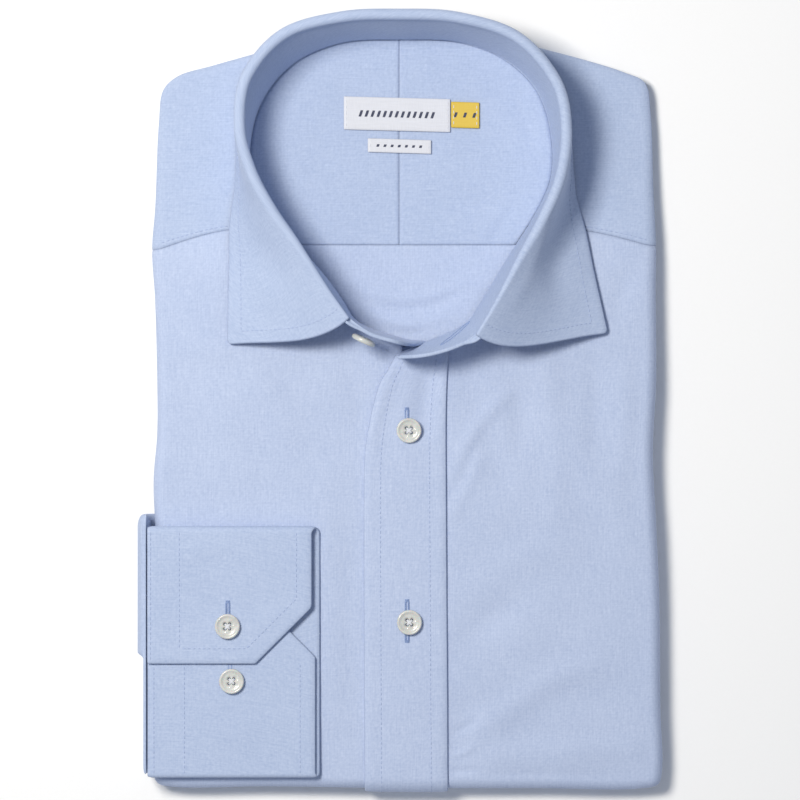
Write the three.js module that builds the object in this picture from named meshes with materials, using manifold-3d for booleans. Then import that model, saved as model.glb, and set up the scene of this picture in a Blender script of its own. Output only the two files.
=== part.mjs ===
// A long sleeve dress shirt, folded for display and lying on its back.
// Millimetres, +X to the buttonhole side, +Y to the collar, +Z up.
// The origin is on the resting surface under the middle of the folded shirt.

import * as THREE from 'three';
import { mergeVertices } from 'three/addons/utils/BufferGeometryUtils.js';
import Module from 'manifold-3d';

const wasm = await Module();
wasm.setup();

// Walls and clearances
const CLOTH_WALL = 1.2;
const PLACKET_WALL = 1.4;
const STAND_WALL = 1.8;
const LEAF_WALL = 1.6;
const CUFF_WALL = 1.6;
const SLEEVE_WALL = 1.0;
const LABEL_WALL = 1.0;
const SEAM_GAP = 0.3;
const CORE_CLEARANCE = 1.1;

// The rolled edge of the folded body
const ROLL_WIDTH = 5;
const ROLL_FLOOR = 5;
const ROLL_END = 155;
const ROLL_SHARE = 0.8;

// Collar fold, placket and neck
const FOLD_RADIUS = 2.5;
const FOLD_RISE = 1.5;
const NECK_CENTRE = new THREE.Vector2(0, 105);
const NECK_LEDGE = 10;
const LEDGE_SLOPE = 3;
const OPEN_LEDGE = 0.8;
const CENTRE_SEAM_X = -0.5;
const YOKE_SEAM_Y = 70;
const BUTTON_SIDE_EDGE_X = 1;
const BUTTONHOLE_SIDE_EDGE_X = 3.5;
const OPENING_FOOT_Y = -166;

// Steps of the walls' grids
const FRONT_STEPS = { rows: 32, across: 7 };
const YOKE_STEPS = { rows: 16, across: 4 };
const ROLL_STEPS = 6;
const SEAM_STEPS = 12;
const YOKE_INSIDE_STEPS = { rows: 12, across: 5 };
const BACK_INSIDE_STEPS = 8;
const LABEL_STEPS = 4;
const PLACKET_STEPS = { rows: 26, across: 4 };
const LEAF_STEPS = { around: 48, drop: 6 };
const STAND_STEPS = 36;
const CUFF_STEPS = { across: 5, turn: 5 };
const CORE_SPOKES = 64;
const SEAM_SAMPLES = 240;
const BUTTON_SIDES = { rim: 24, hole: 8 };

// Buttons, 18 ligne
const BUTTON = { radius: 5.65, thickness: 2.4, rim: 1.1, dish: 0.6, holeRadius: 0.75, holeOffset: 1.45 };

// Edge of the folded body seen from above, counter-clockwise from the placket's foot
const BODY_OUTLINE = [
  { x: 0, y: -175.0 }, { x: 60, y: -175.0 }, { x: 108, y: -175.2 }, { x: 116.4, y: -173.2 },
  { x: 118.1, y: -165.5 }, { x: 117.3, y: -138 }, { x: 116.8, y: -89 }, { x: 115.4, y: -56 },
  { x: 113.9, y: -24 }, { x: 115.4, y: 10 }, { x: 115.2, y: 50 }, { x: 115.4, y: 70 },
  { x: 114.2, y: 97 }, { x: 113.2, y: 128 }, { x: 110.6, y: 143.2 }, { x: 101, y: 148 },
  { x: 84, y: 153.4 }, { x: 63, y: 159 }, { x: 46, y: 163.6 }, { x: 20, y: 167.4 },
  { x: -20, y: 168 }, { x: -46, y: 163 }, { x: -63, y: 157.2 }, { x: -84.7, y: 151 },
  { x: -100.5, y: 146.2 }, { x: -107, y: 140 }, { x: -109, y: 125 }, { x: -110.6, y: 87 },
  { x: -112, y: 68 }, { x: -110.6, y: 45 }, { x: -109.6, y: 9 }, { x: -109.6, y: -15 },
  { x: -111.2, y: -36 }, { x: -110.4, y: -62 }, { x: -110.2, y: -140 }, { x: -111.8, y: -166 },
  { x: -109.6, y: -172.6 }, { x: -103, y: -174.4 }, { x: -60, y: -174.2 },
];

// Height of the outer cloth along the shirt, and how much it falls at the sides
const BODY_HEIGHTS = [
  { y: -180, z: 16.8 }, { y: -120, z: 18.0 }, { y: -40, z: 18.4 }, { y: 20, z: 17.6 },
  { y: 55, z: 16.0 }, { y: 80, z: 13.6 }, { y: 120, z: 11.2 }, { y: 172, z: 9.6 },
];
const CROWN = 1.4;
const HALF_WIDTH = 118;

// Largest folds: a line on the cloth, its reach to each side and its height (below 0 a trough)
const FOLDS = [
  { fromX: -25, fromY: 26, toX: -18, toY: -8, reach: 5, rise: -0.6 },
  { fromX: 30, fromY: 12, toX: 46, toY: -34, reach: 6, rise: -0.6 },
  { fromX: 24, fromY: -50, toX: 34, toY: -28, reach: 4, rise: 0.7 },
  { fromX: 24, fromY: -166, toX: 30, toY: -140, reach: 6, rise: -0.6 },
  { fromX: 44, fromY: -160, toX: 104, toY: -156, reach: 6, rise: 0.7 },
  { fromX: -96, fromY: 40, toX: -60, toY: 8, reach: 7, rise: 0.6 },
  { fromX: 60, fromY: 20, toX: 100, toY: -60, reach: 8, rise: 0.6 },
];

// Height of the inside of the back and yoke: along the middle and at the neck seam
const INSIDE_HEIGHTS = [
  { y: 15, middle: 9.0, edge: 9.4 }, { y: 45, middle: 8.6, edge: 9.8 }, { y: 60, middle: 8.6, edge: 10.8 },
  { y: 72, middle: 8.7, edge: 11.4 }, { y: 88, middle: 8.8, edge: 11.6 }, { y: 112, middle: 8.8, edge: 11.0 },
  { y: 140, middle: 9.0, edge: 10.0 }, { y: 165, middle: 9.4, edge: 9.6 },
];

// Half of the neck's width along the shirt
const NECK_WIDTHS = [
  { y: 15, width: 14 }, { y: 36, width: 26 }, { y: 70, width: 49 }, { y: 100, width: 67 },
  { y: 120, width: 67.5 }, { y: 140, width: 60 }, { y: 154, width: 45 }, { y: 163, width: 24 },
];

// Where the inner yoke's halves start and end on the neck seam
const YOKE_INSIDE_NECK = { leftX: -45.8, rightX: 51.6, endX: 12, endY: 161.9 };

// Edges of the back's inside, which runs on under the fronts
const BACK_INSIDE_EDGES = [
  { y: 69.7, left: -51, right: 56 }, { y: 57, left: -42, right: 50 }, { y: 45, left: -33, right: 43 },
  { y: 34, left: -24, right: 34 }, { y: 25, left: -11, right: 22 },
];

// The collar, a row for each section from the button side round the back of the neck:
// neck seam, fold at the top, free edge of the leaf, and how far that section bows to -Y
const COLLAR = [
  { seam: [-20.4, 36.5, 18.0], fold: [-23.5, 36.0, 46.0], edge: [-77.5, 25.2, 20.0], bow: 3.8 },
  { seam: [-31.2, 52.7, 17.0], fold: [-34.3, 50.9, 46.2], edge: [-77.3, 41.4, 19.4], bow: 1.5 },
  { seam: [-46.0, 69.8, 15.0], fold: [-46.5, 69.3, 46.5], edge: [-77.1, 62.1, 17.4], bow: 0 },
  { seam: [-58.6, 83.3, 13.6], fold: [-57.3, 84.6, 46.8], edge: [-77.1, 79.2, 15.8], bow: 0 },
  { seam: [-66.7, 101.3, 12.4], fold: [-66.5, 102.2, 47.2], edge: [-74.6, 99.0, 13.4], bow: 0 },
  { seam: [-66.7, 120.2, 11.4], fold: [-71.4, 121.6, 47.2], edge: [-74.4, 122.4, 12.0], bow: 0 },
  { seam: [-60.4, 137.7, 10.8], fold: [-68.1, 144.0, 46.8], edge: [-71.4, 147.5, 11.4], bow: 0 },
  { seam: [-46.5, 152.6, 10.3], fold: [-51.4, 163.0, 46.5], edge: [-53.9, 167.0, 8.8], bow: 0 },
  { seam: [-24.9, 161.1, 10.2], fold: [-25.8, 170.4, 46.5], edge: [-26.3, 174.6, 4.8], bow: 0 },
  { seam: [-0.1, 162.2, 10.2], fold: [-0.1, 171.5, 46.5], edge: [-0.1, 176.0, 4.4], bow: 0 },
  { seam: [25.5, 161.3, 10.2], fold: [26.2, 170.0, 46.5], edge: [26.9, 174.6, 4.8], bow: 0 },
  { seam: [46.4, 153.8, 10.3], fold: [51.8, 161.4, 46.5], edge: [54.9, 164.9, 9.8], bow: 0 },
  { seam: [61.5, 139.5, 10.8], fold: [69.0, 142.2, 46.8], edge: [72.3, 143.8, 12.0], bow: 0 },
  { seam: [67.8, 119.7, 11.4], fold: [73.8, 121.4, 47.2], edge: [76.8, 122.0, 12.0], bow: 0 },
  { seam: [67.4, 99.0, 12.4], fold: [71.2, 99.0, 47.2], edge: [78.8, 101.3, 13.6], bow: 0 },
  { seam: [58.4, 80.1, 13.9], fold: [62.4, 78.3, 46.8], edge: [83.1, 79.2, 16.2], bow: 0 },
  { seam: [49.4, 66.2, 15.3], fold: [54.3, 63.9, 46.5], edge: [85.8, 63.9, 17.6], bow: 0 },
  { seam: [38.1, 47.7, 17.2], fold: [44.4, 45.5, 46.2], edge: [89.6, 45.9, 19.2], bow: 2 },
  { seam: [30.9, 36.5, 18.6], fold: [34.5, 28.8, 46.0], edge: [93.0, 30.2, 20.0], bow: 5.3 },
];

// The stand runs on past the leaf at both ends: neck seam and free upper edge
const STAND_BUTTON_END = [
  { seam: [3.5, 27.0, 18.0], top: [4.3, 24.9, 37.0] },
  { seam: [-1.0, 28.6, 18.0], top: [-2.8, 26.3, 42.0] },
  { seam: [-12.3, 32.0, 18.0], top: [-13.6, 30.6, 43.0] },
];
const STAND_BUTTONHOLE_END = [
  { seam: [23.3, 31.3, 20.0], top: [26.4, 23.0, 43.0] },
  { seam: [13.4, 27.2, 20.0], top: [17.0, 20.3, 42.6] },
  { seam: [4.8, 23.4, 20.0], top: [8.0, 18.7, 41.0] },
  { seam: [-0.6, 20.7, 20.0], top: [-1.0, 18.9, 33.0] },
];

// Placket edges from the collar to the hem
const PLACKET_EDGES = [
  { leftX: -1.7, leftY: 20.0, rightX: 21.9, rightY: 30.4 },
  { leftX: -5.5, leftY: 13.0, rightX: 20.9, rightY: 16.0 },
  { leftX: -9.1, leftY: 6.8, rightX: 20.4, rightY: 7.0 },
  { leftX: -12.6, leftY: -6.0, rightX: 20.1, rightY: -6.0 },
  { leftX: -15.3, leftY: -22.5, rightX: 20.1, rightY: -22.5 },
  { leftX: -15.9, leftY: -45, rightX: 20.2, rightY: -45 },
  { leftX: -15.8, leftY: -110, rightX: 20.6, rightY: -110 },
  { leftX: -15.5, leftY: -170, rightX: 21, rightY: -170 },
];

// Shoulder seams: how far they bow to +Y between neck and edge
const SHOULDER_BOW = { left: 3.0, right: 2.2, fade: 0.35 };

// The cuff, wound from its button end round both folds to its buttonhole end
const CUFF = {
  left: -113.0, innerRight: -38.6, outerRight: -40.2, backRight: -36.6,
  innerEnd: -90.5, outerEnd: -117.9, mitre: 25, topFold: -56.6, bottomFold: -169.6, layerGap: 0.6, rest: 0.7,
};
const CUFF_RUNS = [0, 12, 25, 45];

// The sleeve round the left edge: its outer and inner layer from the cuff to under the body
const SLEEVE_PROFILE = [
  { outerX: -114.4, outerZ: 22.2, innerX: -113.9, innerZ: 19.2 },
  { outerX: -116.6, outerZ: 20.6, innerX: -113.5, innerZ: 17.0 },
  { outerX: -118.1, outerZ: 16.0, innerX: -113.0, innerZ: 13.6 },
  { outerX: -118.2, outerZ: 11.0, innerX: -112.4, innerZ: 9.8 },
  { outerX: -117.2, outerZ: 5.0, innerX: -111.6, innerZ: 6.4 },
  { outerX: -113.6, outerZ: 1.2, innerX: -109.8, innerZ: 4.0 },
  { outerX: -107.0, outerZ: 0.4, innerX: -106.6, innerZ: 3.2 },
];
const SLEEVE = { top: -51.4, placketEdge: -115.0, bottom: -168.0, tuckedX: -115.4, spread: 1.5 };
const SLEEVE_TURNS = [50, 90, 130];
const SLEEVE_STOPS = [-164, -150, -134, -119, -116, -113.5, -108, -95, -80, -66, -57];

// Folded layers at the core's edge, from the rolled body down to the floor
const CORE_LAYERS = [
  { inset: 4.9, z: 5.6 }, { inset: 3.2, z: 4.7 }, { inset: 2.0, z: 3.6 }, { inset: 3.6, z: 2.5 },
  { inset: 2.6, z: 1.4 }, { inset: 4.0, z: 0 },
];
const SLEEVE_NOTCH = 8;
const CORNER_EASE = 1.8;

const WHITE_TAPE = 0xe1e3eb;
const YELLOW_TAPE = 0xfacd3c;
const LABELS = [
  { name: 'label_wide', colour: WHITE_TAPE, left: -25.3, right: 22.4, top: 136.2, bottom: 121.6, tilt: -0.026 },
  { name: 'label_tab', colour: YELLOW_TAPE, left: 23.1, right: 35.5, top: 134.2, bottom: 122.9, tilt: -0.03 },
  { name: 'label_narrow', colour: WHITE_TAPE, left: -14.5, right: 13.8, top: 117.5, bottom: 111.6, tilt: -0.03 },
];

const FRONT_BUTTONS = [
  { name: 'button_front_upper', x: 3.9, y: -13.7 }, { name: 'button_front_lower', x: 4.1, y: -99.9 },
];
const CUFF_BUTTONS = [
  { name: 'button_cuff_upper', x: -77.5, y: -101.5, layer: 3 },
  { name: 'button_cuff_lower', x: -75.7, y: -126.2, layer: 2 },
];
const COLLAR_BUTTON = { name: 'button_collar', x: -16.3, y: 29.1, z: 36, turn: -115, lean: 12 };

const SHIRTING = { color: 0xb8c8e6, roughness: 0.85, metalness: 0 };
const PEARL = { color: 0xe1e2da, roughness: 0.35, metalness: 0 };

const DEGREE = Math.PI / 180;

// Curves through rows

function spline(values, at) {
  const last = values.length - 1;
  const clamped = Math.min(Math.max(at, 0), last);
  const index = Math.min(Math.floor(clamped), last - 1);
  const t = clamped - index;
  const p1 = values[index];
  const p2 = values[index + 1];
  const p0 = index > 0 ? values[index - 1] : 2 * p1 - p2;
  const p3 = index + 2 <= last ? values[index + 2] : 2 * p2 - p1;
  const bend = 2 * p0 - 5 * p1 + 4 * p2 - p3;
  const twist = -p0 + 3 * p1 - 3 * p2 + p3;
  return p1 + 0.5 * t * (p2 - p0 + t * (bend + t * twist));
}

function tableAt(rows, key, column, value) {
  const rising = rows[rows.length - 1][key] > rows[0][key];
  let index = 0;
  while (index < rows.length - 2 && (rising ? value > rows[index + 1][key] : value < rows[index + 1][key])) {
    index += 1;
  }
  const share = (value - rows[index][key]) / (rows[index + 1][key] - rows[index][key]);
  return spline(rows.map((row) => row[column]), index + Math.min(Math.max(share, 0), 1));
}

function planCurve(points, closed) {
  const stations = points.map(([x, y]) => new THREE.Vector3(x, y, 0));
  const curve = new THREE.CatmullRomCurve3(stations, closed, 'centripetal');
  curve.arcLengthDivisions = 600;
  return curve;
}

function nearestShare(curve, x, y) {
  let best = 0.5;
  let span = 0.5;
  for (let round = 0; round < 4; round += 1) {
    const steps = round === 0 ? 300 : 20;
    const from = best - span;
    let bestDistance = Infinity;
    for (let i = 0; i <= steps; i += 1) {
      const share = Math.min(Math.max(from + (2 * span * i) / steps, 0), 1);
      const point = curve.getPointAt(share);
      const distance = Math.hypot(point.x - x, point.y - y);
      if (distance < bestDistance) {
        best = share;
        bestDistance = distance;
      }
    }
    span = (2 * span) / steps;
  }
  return best;
}

const outline = planCurve(BODY_OUTLINE.map((row) => [row.x, row.y]), true);
const neckSeam = planCurve([
  ...STAND_BUTTON_END.map((row) => row.seam), ...COLLAR.map((row) => row.seam),
  ...STAND_BUTTONHOLE_END.map((row) => row.seam),
], false);

// Heights of the cloth

function foldHeight(x, y) {
  return FOLDS.reduce((sum, fold) => {
    const dx = fold.toX - fold.fromX;
    const dy = fold.toY - fold.fromY;
    const along = ((x - fold.fromX) * dx + (y - fold.fromY) * dy) / (dx * dx + dy * dy);
    const held = Math.min(Math.max(along, 0), 1);
    const distance = Math.hypot(x - fold.fromX - held * dx, y - fold.fromY - held * dy);
    return sum + fold.rise * Math.exp(-((distance / fold.reach) ** 2));
  }, 0);
}

function smoothHeight(x, y) {
  return tableAt(BODY_HEIGHTS, 'y', 'z', y) - CROWN * (x / HALF_WIDTH) ** 2;
}

function bodyHeight(x, y) {
  return smoothHeight(x, y) + foldHeight(x, y);
}

function neckHalfWidth(y) {
  return tableAt(NECK_WIDTHS, 'y', 'width', y);
}

function insideHeight(x, y) {
  const middle = tableAt(INSIDE_HEIGHTS, 'y', 'middle', y);
  const edge = tableAt(INSIDE_HEIGHTS, 'y', 'edge', y);
  const share = Math.min(Math.abs(x) / neckHalfWidth(y), 1.1);
  return middle + (edge - middle) * share ** 3;
}

// Closed walls from a grid of outer points

function gridNormals(rows, closedAcross) {
  return rows.map((row, j) => row.map((point, i) => {
    const count = row.length;
    const next = closedAcross ? row[(i + 1) % count] : row[Math.min(i + 1, count - 1)];
    const previous = closedAcross ? row[(i + count - 1) % count] : row[Math.max(i - 1, 0)];
    const across = next.clone().sub(previous);
    const along = rows[Math.min(j + 1, rows.length - 1)][i].clone().sub(rows[Math.max(j - 1, 0)][i]);
    return across.cross(along).normalize();
  }));
}

function closedGeometry(points, triangles) {
  const volume = triangles.reduce((sum, [a, b, c]) => (
    sum + points[a].dot(points[b].clone().cross(points[c]))
  ), 0);
  const facing = volume < 0 ? triangles.map(([a, b, c]) => [a, c, b]) : triangles;
  const geometry = new THREE.BufferGeometry();
  const positions = points.flatMap((point) => [point.x, point.y, point.z]);
  geometry.setAttribute('position', new THREE.Float32BufferAttribute(positions, 3));
  geometry.setIndex(facing.flat());
  geometry.computeVertexNormals();
  return geometry;
}

function wall(rows, thickness, closedAcross = false) {
  const normals = gridNormals(rows, closedAcross);
  const width = rows[0].length;
  const size = rows.length * width;
  const outer = rows.flat();
  const inner = rows.flatMap((row, j) => row.map((point, i) => (
    point.clone().addScaledVector(normals[j][i], -thickness)
  )));
  const triangles = [];
  const quad = (a, b, c, d) => triangles.push([a, b, c], [a, c, d]);
  const spans = closedAcross ? width : width - 1;
  for (let j = 0; j < rows.length - 1; j += 1) {
    for (let i = 0; i < spans; i += 1) {
      const right = (i + 1) % width;
      const a = j * width + i;
      const b = j * width + right;
      const c = (j + 1) * width + right;
      const d = (j + 1) * width + i;
      quad(a, b, c, d);
      quad(size + d, size + c, size + b, size + a);
    }
    if (!closedAcross) {
      const start = j * width;
      const end = start + width - 1;
      quad(start, start + width, size + start + width, size + start);
      quad(end + width, end, size + end, size + end + width);
    }
  }
  for (let i = 0; i < spans; i += 1) {
    const right = (i + 1) % width;
    const top = (rows.length - 1) * width;
    quad(right, i, size + i, size + right);
    quad(top + i, top + right, size + top + right, size + top + i);
  }
  return closedGeometry([...outer, ...inner], triangles);
}

// A solid from closed loops, its first and last loop closed by a fan
function loftedSolid(loops) {
  const count = loops[0].length;
  const points = loops.flat();
  const centreOf = (loop) => loop.reduce((sum, p) => sum.add(p), new THREE.Vector3()).divideScalar(count);
  const firstCentre = points.push(centreOf(loops[0])) - 1;
  const lastCentre = points.push(centreOf(loops[loops.length - 1])) - 1;
  const lastStart = (loops.length - 1) * count;
  const triangles = [];
  for (let i = 0; i < count; i += 1) {
    const next = (i + 1) % count;
    triangles.push([firstCentre, i, next], [lastCentre, lastStart + next, lastStart + i]);
    for (let k = 0; k < loops.length - 1; k += 1) {
      const a = k * count;
      triangles.push([a + i, a + count + i, a + count + next], [a + i, a + count + next, a + next]);
    }
  }
  return closedGeometry(points, triangles);
}

// The body's edge, where the cloth rolls over and turns under

function outwardAt(share) {
  const tangent = outline.getTangentAt(((share % 1) + 1) % 1);
  return new THREE.Vector3(tangent.y, -tangent.x, 0);
}

function rollPoints(inner, share, steps, lift = 0) {
  const edge = outline.getPointAt(((share % 1) + 1) % 1);
  const outward = outwardAt(share);
  const inward = new THREE.Vector3(inner.x - edge.x, inner.y - edge.y, 0);
  const depth = Math.max(-inward.dot(outward), 0.1);
  const width = Math.min(ROLL_WIDTH, ROLL_SHARE * depth);
  const step = inward.multiplyScalar(width / depth);
  const start = edge.clone().add(step);
  const top = bodyHeight(start.x, start.y);
  const half = (top - ROLL_FLOOR) / 2;
  return Array.from({ length: steps + 1 }, (_, k) => {
    const angle = (ROLL_END * k * DEGREE) / steps;
    const grow = width + lift;
    const point = edge.clone().addScaledVector(step, 1 - (Math.sin(angle) * grow) / width);
    point.z = ROLL_FLOOR + half + (half + lift) * Math.cos(angle);
    return point;
  });
}

function panelRow(inner, share, flatSteps, rollSteps, bow) {
  const roll = rollPoints(inner, share, rollSteps);
  const flat = Array.from({ length: flatSteps }, (_, k) => {
    const s = k / flatSteps;
    const point = new THREE.Vector3().lerpVectors(inner, roll[0], s);
    point.y += bow * Math.sin(Math.PI * s);
    point.z = bodyHeight(point.x, point.y);
    return point;
  });
  return [...flat, ...roll];
}

// A panel between an inner path and a stretch of the body's edge
function edgePanel({ innerAt, from, to, rows, flatSteps, bow }) {
  const grid = Array.from({ length: rows + 1 }, (_, j) => {
    const t = j / rows;
    const fade = Math.max(1 - t / SHOULDER_BOW.fade, 0);
    return panelRow(innerAt(t), from + (to - from) * t, flatSteps, ROLL_STEPS, bow * fade * fade);
  });
  return wall(from < to ? grid : grid.slice().reverse(), CLOTH_WALL);
}

function pathThrough(curves) {
  const lengths = curves.map((curve) => curve.getLength());
  const total = lengths.reduce((sum, length) => sum + length, 0);
  return (t) => {
    let left = t * total;
    let index = 0;
    while (index < curves.length - 1 && left > lengths[index]) {
      left -= lengths[index];
      index += 1;
    }
    return curves[index].getPointAt(Math.min(left / lengths[index], 1));
  };
}

function seamStretch(fromX, fromY, toX, toY, aside) {
  const from = nearestShare(neckSeam, fromX, fromY);
  const to = nearestShare(neckSeam, toX, toY);
  const points = Array.from({ length: SEAM_STEPS + 1 }, (_, i) => {
    const share = from + ((to - from) * i) / SEAM_STEPS;
    const point = neckSeam.getPointAt(share);
    const tangent = neckSeam.getTangentAt(share);
    return [point.x - tangent.y * aside, point.y + tangent.x * aside];
  });
  return planCurve(points, false);
}

const HALF_GAP = SEAM_GAP / 2;
const LEFT_SHOULDER = { neckX: -53.7, neckY: 78.2, edgeX: -112, edgeY: 67.5 };
const RIGHT_SHOULDER = { neckX: 57.2, neckY: 78.2, edgeX: 115.4, edgeY: 69.3 };

function frontButtonSide() {
  const neck = seamStretch(LEFT_SHOULDER.neckX, LEFT_SHOULDER.neckY, BUTTON_SIDE_EDGE_X, 28, HALF_GAP);
  const start = neck.getPointAt(1);
  const opening = new THREE.LineCurve3(start, new THREE.Vector3(BUTTON_SIDE_EDGE_X, OPENING_FOOT_Y, 0));
  const innerAt = pathThrough([neck, opening]);
  const from = nearestShare(outline, LEFT_SHOULDER.edgeX, LEFT_SHOULDER.edgeY - HALF_GAP);
  const to = 1 + nearestShare(outline, 60, -175) * (BUTTON_SIDE_EDGE_X / 60);
  const { rows, across } = FRONT_STEPS;
  return edgePanel({ innerAt, from, to, rows, flatSteps: across, bow: SHOULDER_BOW.left });
}

function frontButtonholeSide() {
  const neck = seamStretch(RIGHT_SHOULDER.neckX, RIGHT_SHOULDER.neckY, BUTTONHOLE_SIDE_EDGE_X, 23, HALF_GAP);
  const start = neck.getPointAt(1);
  const opening = new THREE.LineCurve3(start, new THREE.Vector3(BUTTONHOLE_SIDE_EDGE_X, OPENING_FOOT_Y, 0));
  const innerAt = pathThrough([neck, opening]);
  const from = nearestShare(outline, RIGHT_SHOULDER.edgeX, RIGHT_SHOULDER.edgeY - HALF_GAP);
  const to = nearestShare(outline, 60, -175) * (BUTTONHOLE_SIDE_EDGE_X / 60);
  const { rows, across } = FRONT_STEPS;
  return edgePanel({ innerAt, from, to, rows, flatSteps: across, bow: SHOULDER_BOW.right });
}

function yokeOutside(shoulder, side, bow) {
  const neck = seamStretch(shoulder.neckX, shoulder.neckY + SEAM_GAP, side * 0.3, 162.2, HALF_GAP);
  const from = nearestShare(outline, shoulder.edgeX, shoulder.edgeY + HALF_GAP);
  const to = nearestShare(outline, side * 0.3, 168);
  const { rows, across } = YOKE_STEPS;
  return edgePanel({ innerAt: (t) => neck.getPointAt(t), from, to, rows, flatSteps: across, bow });
}

// The inside of the neck

function insideRow(fromX, fromY, toX, toY, steps) {
  return Array.from({ length: steps + 1 }, (_, k) => {
    const x = fromX + ((toX - fromX) * k) / steps;
    const y = fromY + ((toY - fromY) * k) / steps;
    return new THREE.Vector3(x, y, insideHeight(x, y));
  });
}

function yokeInside(side) {
  const { leftX, rightX, endX, endY } = YOKE_INSIDE_NECK;
  const neck = seamStretch(side < 0 ? leftX : rightX, YOKE_SEAM_Y, side * endX, endY, -HALF_GAP);
  const seamX = CENTRE_SEAM_X + side * HALF_GAP;
  const { rows: count, across } = YOKE_INSIDE_STEPS;
  const rows = Array.from({ length: count + 1 }, (_, j) => {
    const point = neck.getPointAt(j / count);
    const y = Math.max(point.y, YOKE_SEAM_Y + HALF_GAP);
    return side < 0 ? insideRow(point.x, y, seamX, y, across) : insideRow(seamX, y, point.x, y, across);
  });
  return wall(rows, CLOTH_WALL);
}

function backInside() {
  const rows = BACK_INSIDE_EDGES.map(({ left, right, y }) => insideRow(left, y, right, y, BACK_INSIDE_STEPS));
  return wall(rows.reverse(), CLOTH_WALL);
}

function label({ left, right, top, bottom, tilt }) {
  const middle = (left + right) / 2;
  const rows = [bottom, (top + bottom) / 2, top].map((y) => (
    Array.from({ length: LABEL_STEPS + 1 }, (_, k) => {
      const x = left + ((right - left) * k) / LABEL_STEPS;
      const tiltedY = y + (x - middle) * tilt;
      return new THREE.Vector3(x, tiltedY, insideHeight(x, tiltedY) + SEAM_GAP + LABEL_WALL);
    })
  ));
  return wall(rows, LABEL_WALL);
}

// The placket, made from the fronts' points moved out

function placketPoint(x, y) {
  return new THREE.Vector3(x, y, bodyHeight(x, y) + SEAM_GAP + PLACKET_WALL);
}

function placket() {
  const { rows: count, across: columns } = PLACKET_STEPS;
  const flat = Array.from({ length: count + 1 }, (_, j) => {
    const at = ((PLACKET_EDGES.length - 1) * j) / count;
    const edge = (column) => spline(PLACKET_EDGES.map((row) => row[column]), at);
    return Array.from({ length: columns + 1 }, (_, k) => {
      const s = k / columns;
      const x = edge('leftX') + (edge('rightX') - edge('leftX')) * s;
      return placketPoint(x, edge('leftY') + (edge('rightY') - edge('leftY')) * s);
    });
  });
  const lift = SEAM_GAP + PLACKET_WALL;
  const foot = flat[count];
  const turned = foot.map((point) => {
    const share = nearestShare(outline, point.x, -175);
    return rollPoints(new THREE.Vector3(point.x, -160, 0), share, ROLL_STEPS, lift);
  });
  const turns = turned[0].map((_, k) => turned.map((column) => column[k]));
  return wall([...flat.slice(0, count), ...turns].reverse(), PLACKET_WALL);
}

// The collar

function collarColumn(part, index, at) {
  return spline(COLLAR.map((row) => row[part][index]), at);
}

function collarPoint(part, at) {
  return new THREE.Vector3(collarColumn(part, 0, at), collarColumn(part, 1, at), collarColumn(part, 2, at));
}

function foldOutward(at) {
  const step = 0.05;
  const ahead = collarPoint('fold', Math.min(at + step, COLLAR.length - 1));
  const behind = collarPoint('fold', Math.max(at - step, 0));
  const tangent = ahead.sub(behind).setZ(0).normalize();
  return new THREE.Vector3(-tangent.y, tangent.x, 0);
}

function leafSection(at) {
  const fold = collarPoint('fold', at);
  const edge = collarPoint('edge', at);
  const outward = foldOutward(at);
  const up = new THREE.Vector3(0, 0, 1);
  const centre = fold.clone().addScaledVector(up, -FOLD_RADIUS);
  const around = (angle) => centre.clone()
    .addScaledVector(outward, FOLD_RADIUS * Math.cos(angle * DEGREE))
    .addScaledVector(up, FOLD_RADIUS * Math.sin(angle * DEGREE));
  const points = [around(180).addScaledVector(up, -FOLD_RISE)];
  [180, 135, 90, 45].forEach((angle) => points.push(around(angle)));
  const start = around(0);
  const run = edge.clone().sub(start);
  const reach = run.length();
  const flatRun = run.clone().setZ(0);
  const leave = start.clone().addScaledVector(up, -0.3 * reach).addScaledVector(flatRun, 0.1);
  const arrive = flatRun.clone().addScaledVector(up, 0.6 * run.z).normalize();
  const approach = edge.clone().addScaledVector(arrive, -0.35 * reach);
  const drop = new THREE.CubicBezierCurve3(start, leave, approach, edge);
  const bow = spline(COLLAR.map((row) => row.bow), at);
  const steps = LEAF_STEPS.drop;
  for (let k = 0; k <= steps; k += 1) {
    const point = drop.getPoint(k / steps);
    point.y -= bow * Math.sin((Math.PI * k) / steps);
    points.push(point);
  }
  return points;
}

function collarLeaf() {
  const count = LEAF_STEPS.around;
  const rows = Array.from({ length: count + 1 }, (_, j) => leafSection(((COLLAR.length - 1) * j) / count));
  return wall(rows.reverse(), LEAF_WALL);
}

function standColumn(seam, top) {
  return [0, 0.5, 1].map((s) => {
    const lean = 0.6 * s + 0.4 * s * s;
    return new THREE.Vector3(
      seam.x + (top.x - seam.x) * lean,
      seam.y + (top.y - seam.y) * lean,
      seam.z + (top.z - seam.z) * s,
    );
  });
}

function collarStand() {
  const vector = (values) => new THREE.Vector3(...values);
  const count = STAND_STEPS;
  const underLeaf = Array.from({ length: count + 1 }, (_, j) => {
    const at = ((COLLAR.length - 1) * j) / count;
    const top = collarPoint('fold', at).addScaledVector(foldOutward(at), -FOLD_RADIUS);
    top.z -= FOLD_RADIUS + FOLD_RISE + SEAM_GAP;
    return [collarPoint('seam', at), top];
  });
  const ends = (rows) => rows.map((row) => [vector(row.seam), vector(row.top)]);
  const pairs = [...ends(STAND_BUTTON_END), ...underLeaf, ...ends(STAND_BUTTONHOLE_END)];
  return wall(pairs.map(([seam, top]) => standColumn(seam, top)), STAND_WALL);
}

// The cuff and the sleeve

const CUFF_PITCH = CUFF_WALL + CUFF.layerGap;
const CUFF_MIDDLE = { x: -76, y: -112 };

function cuffBase() {
  return bodyHeight(CUFF_MIDDLE.x, CUFF_MIDDLE.y) + SEAM_GAP + CUFF.rest;
}

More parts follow.
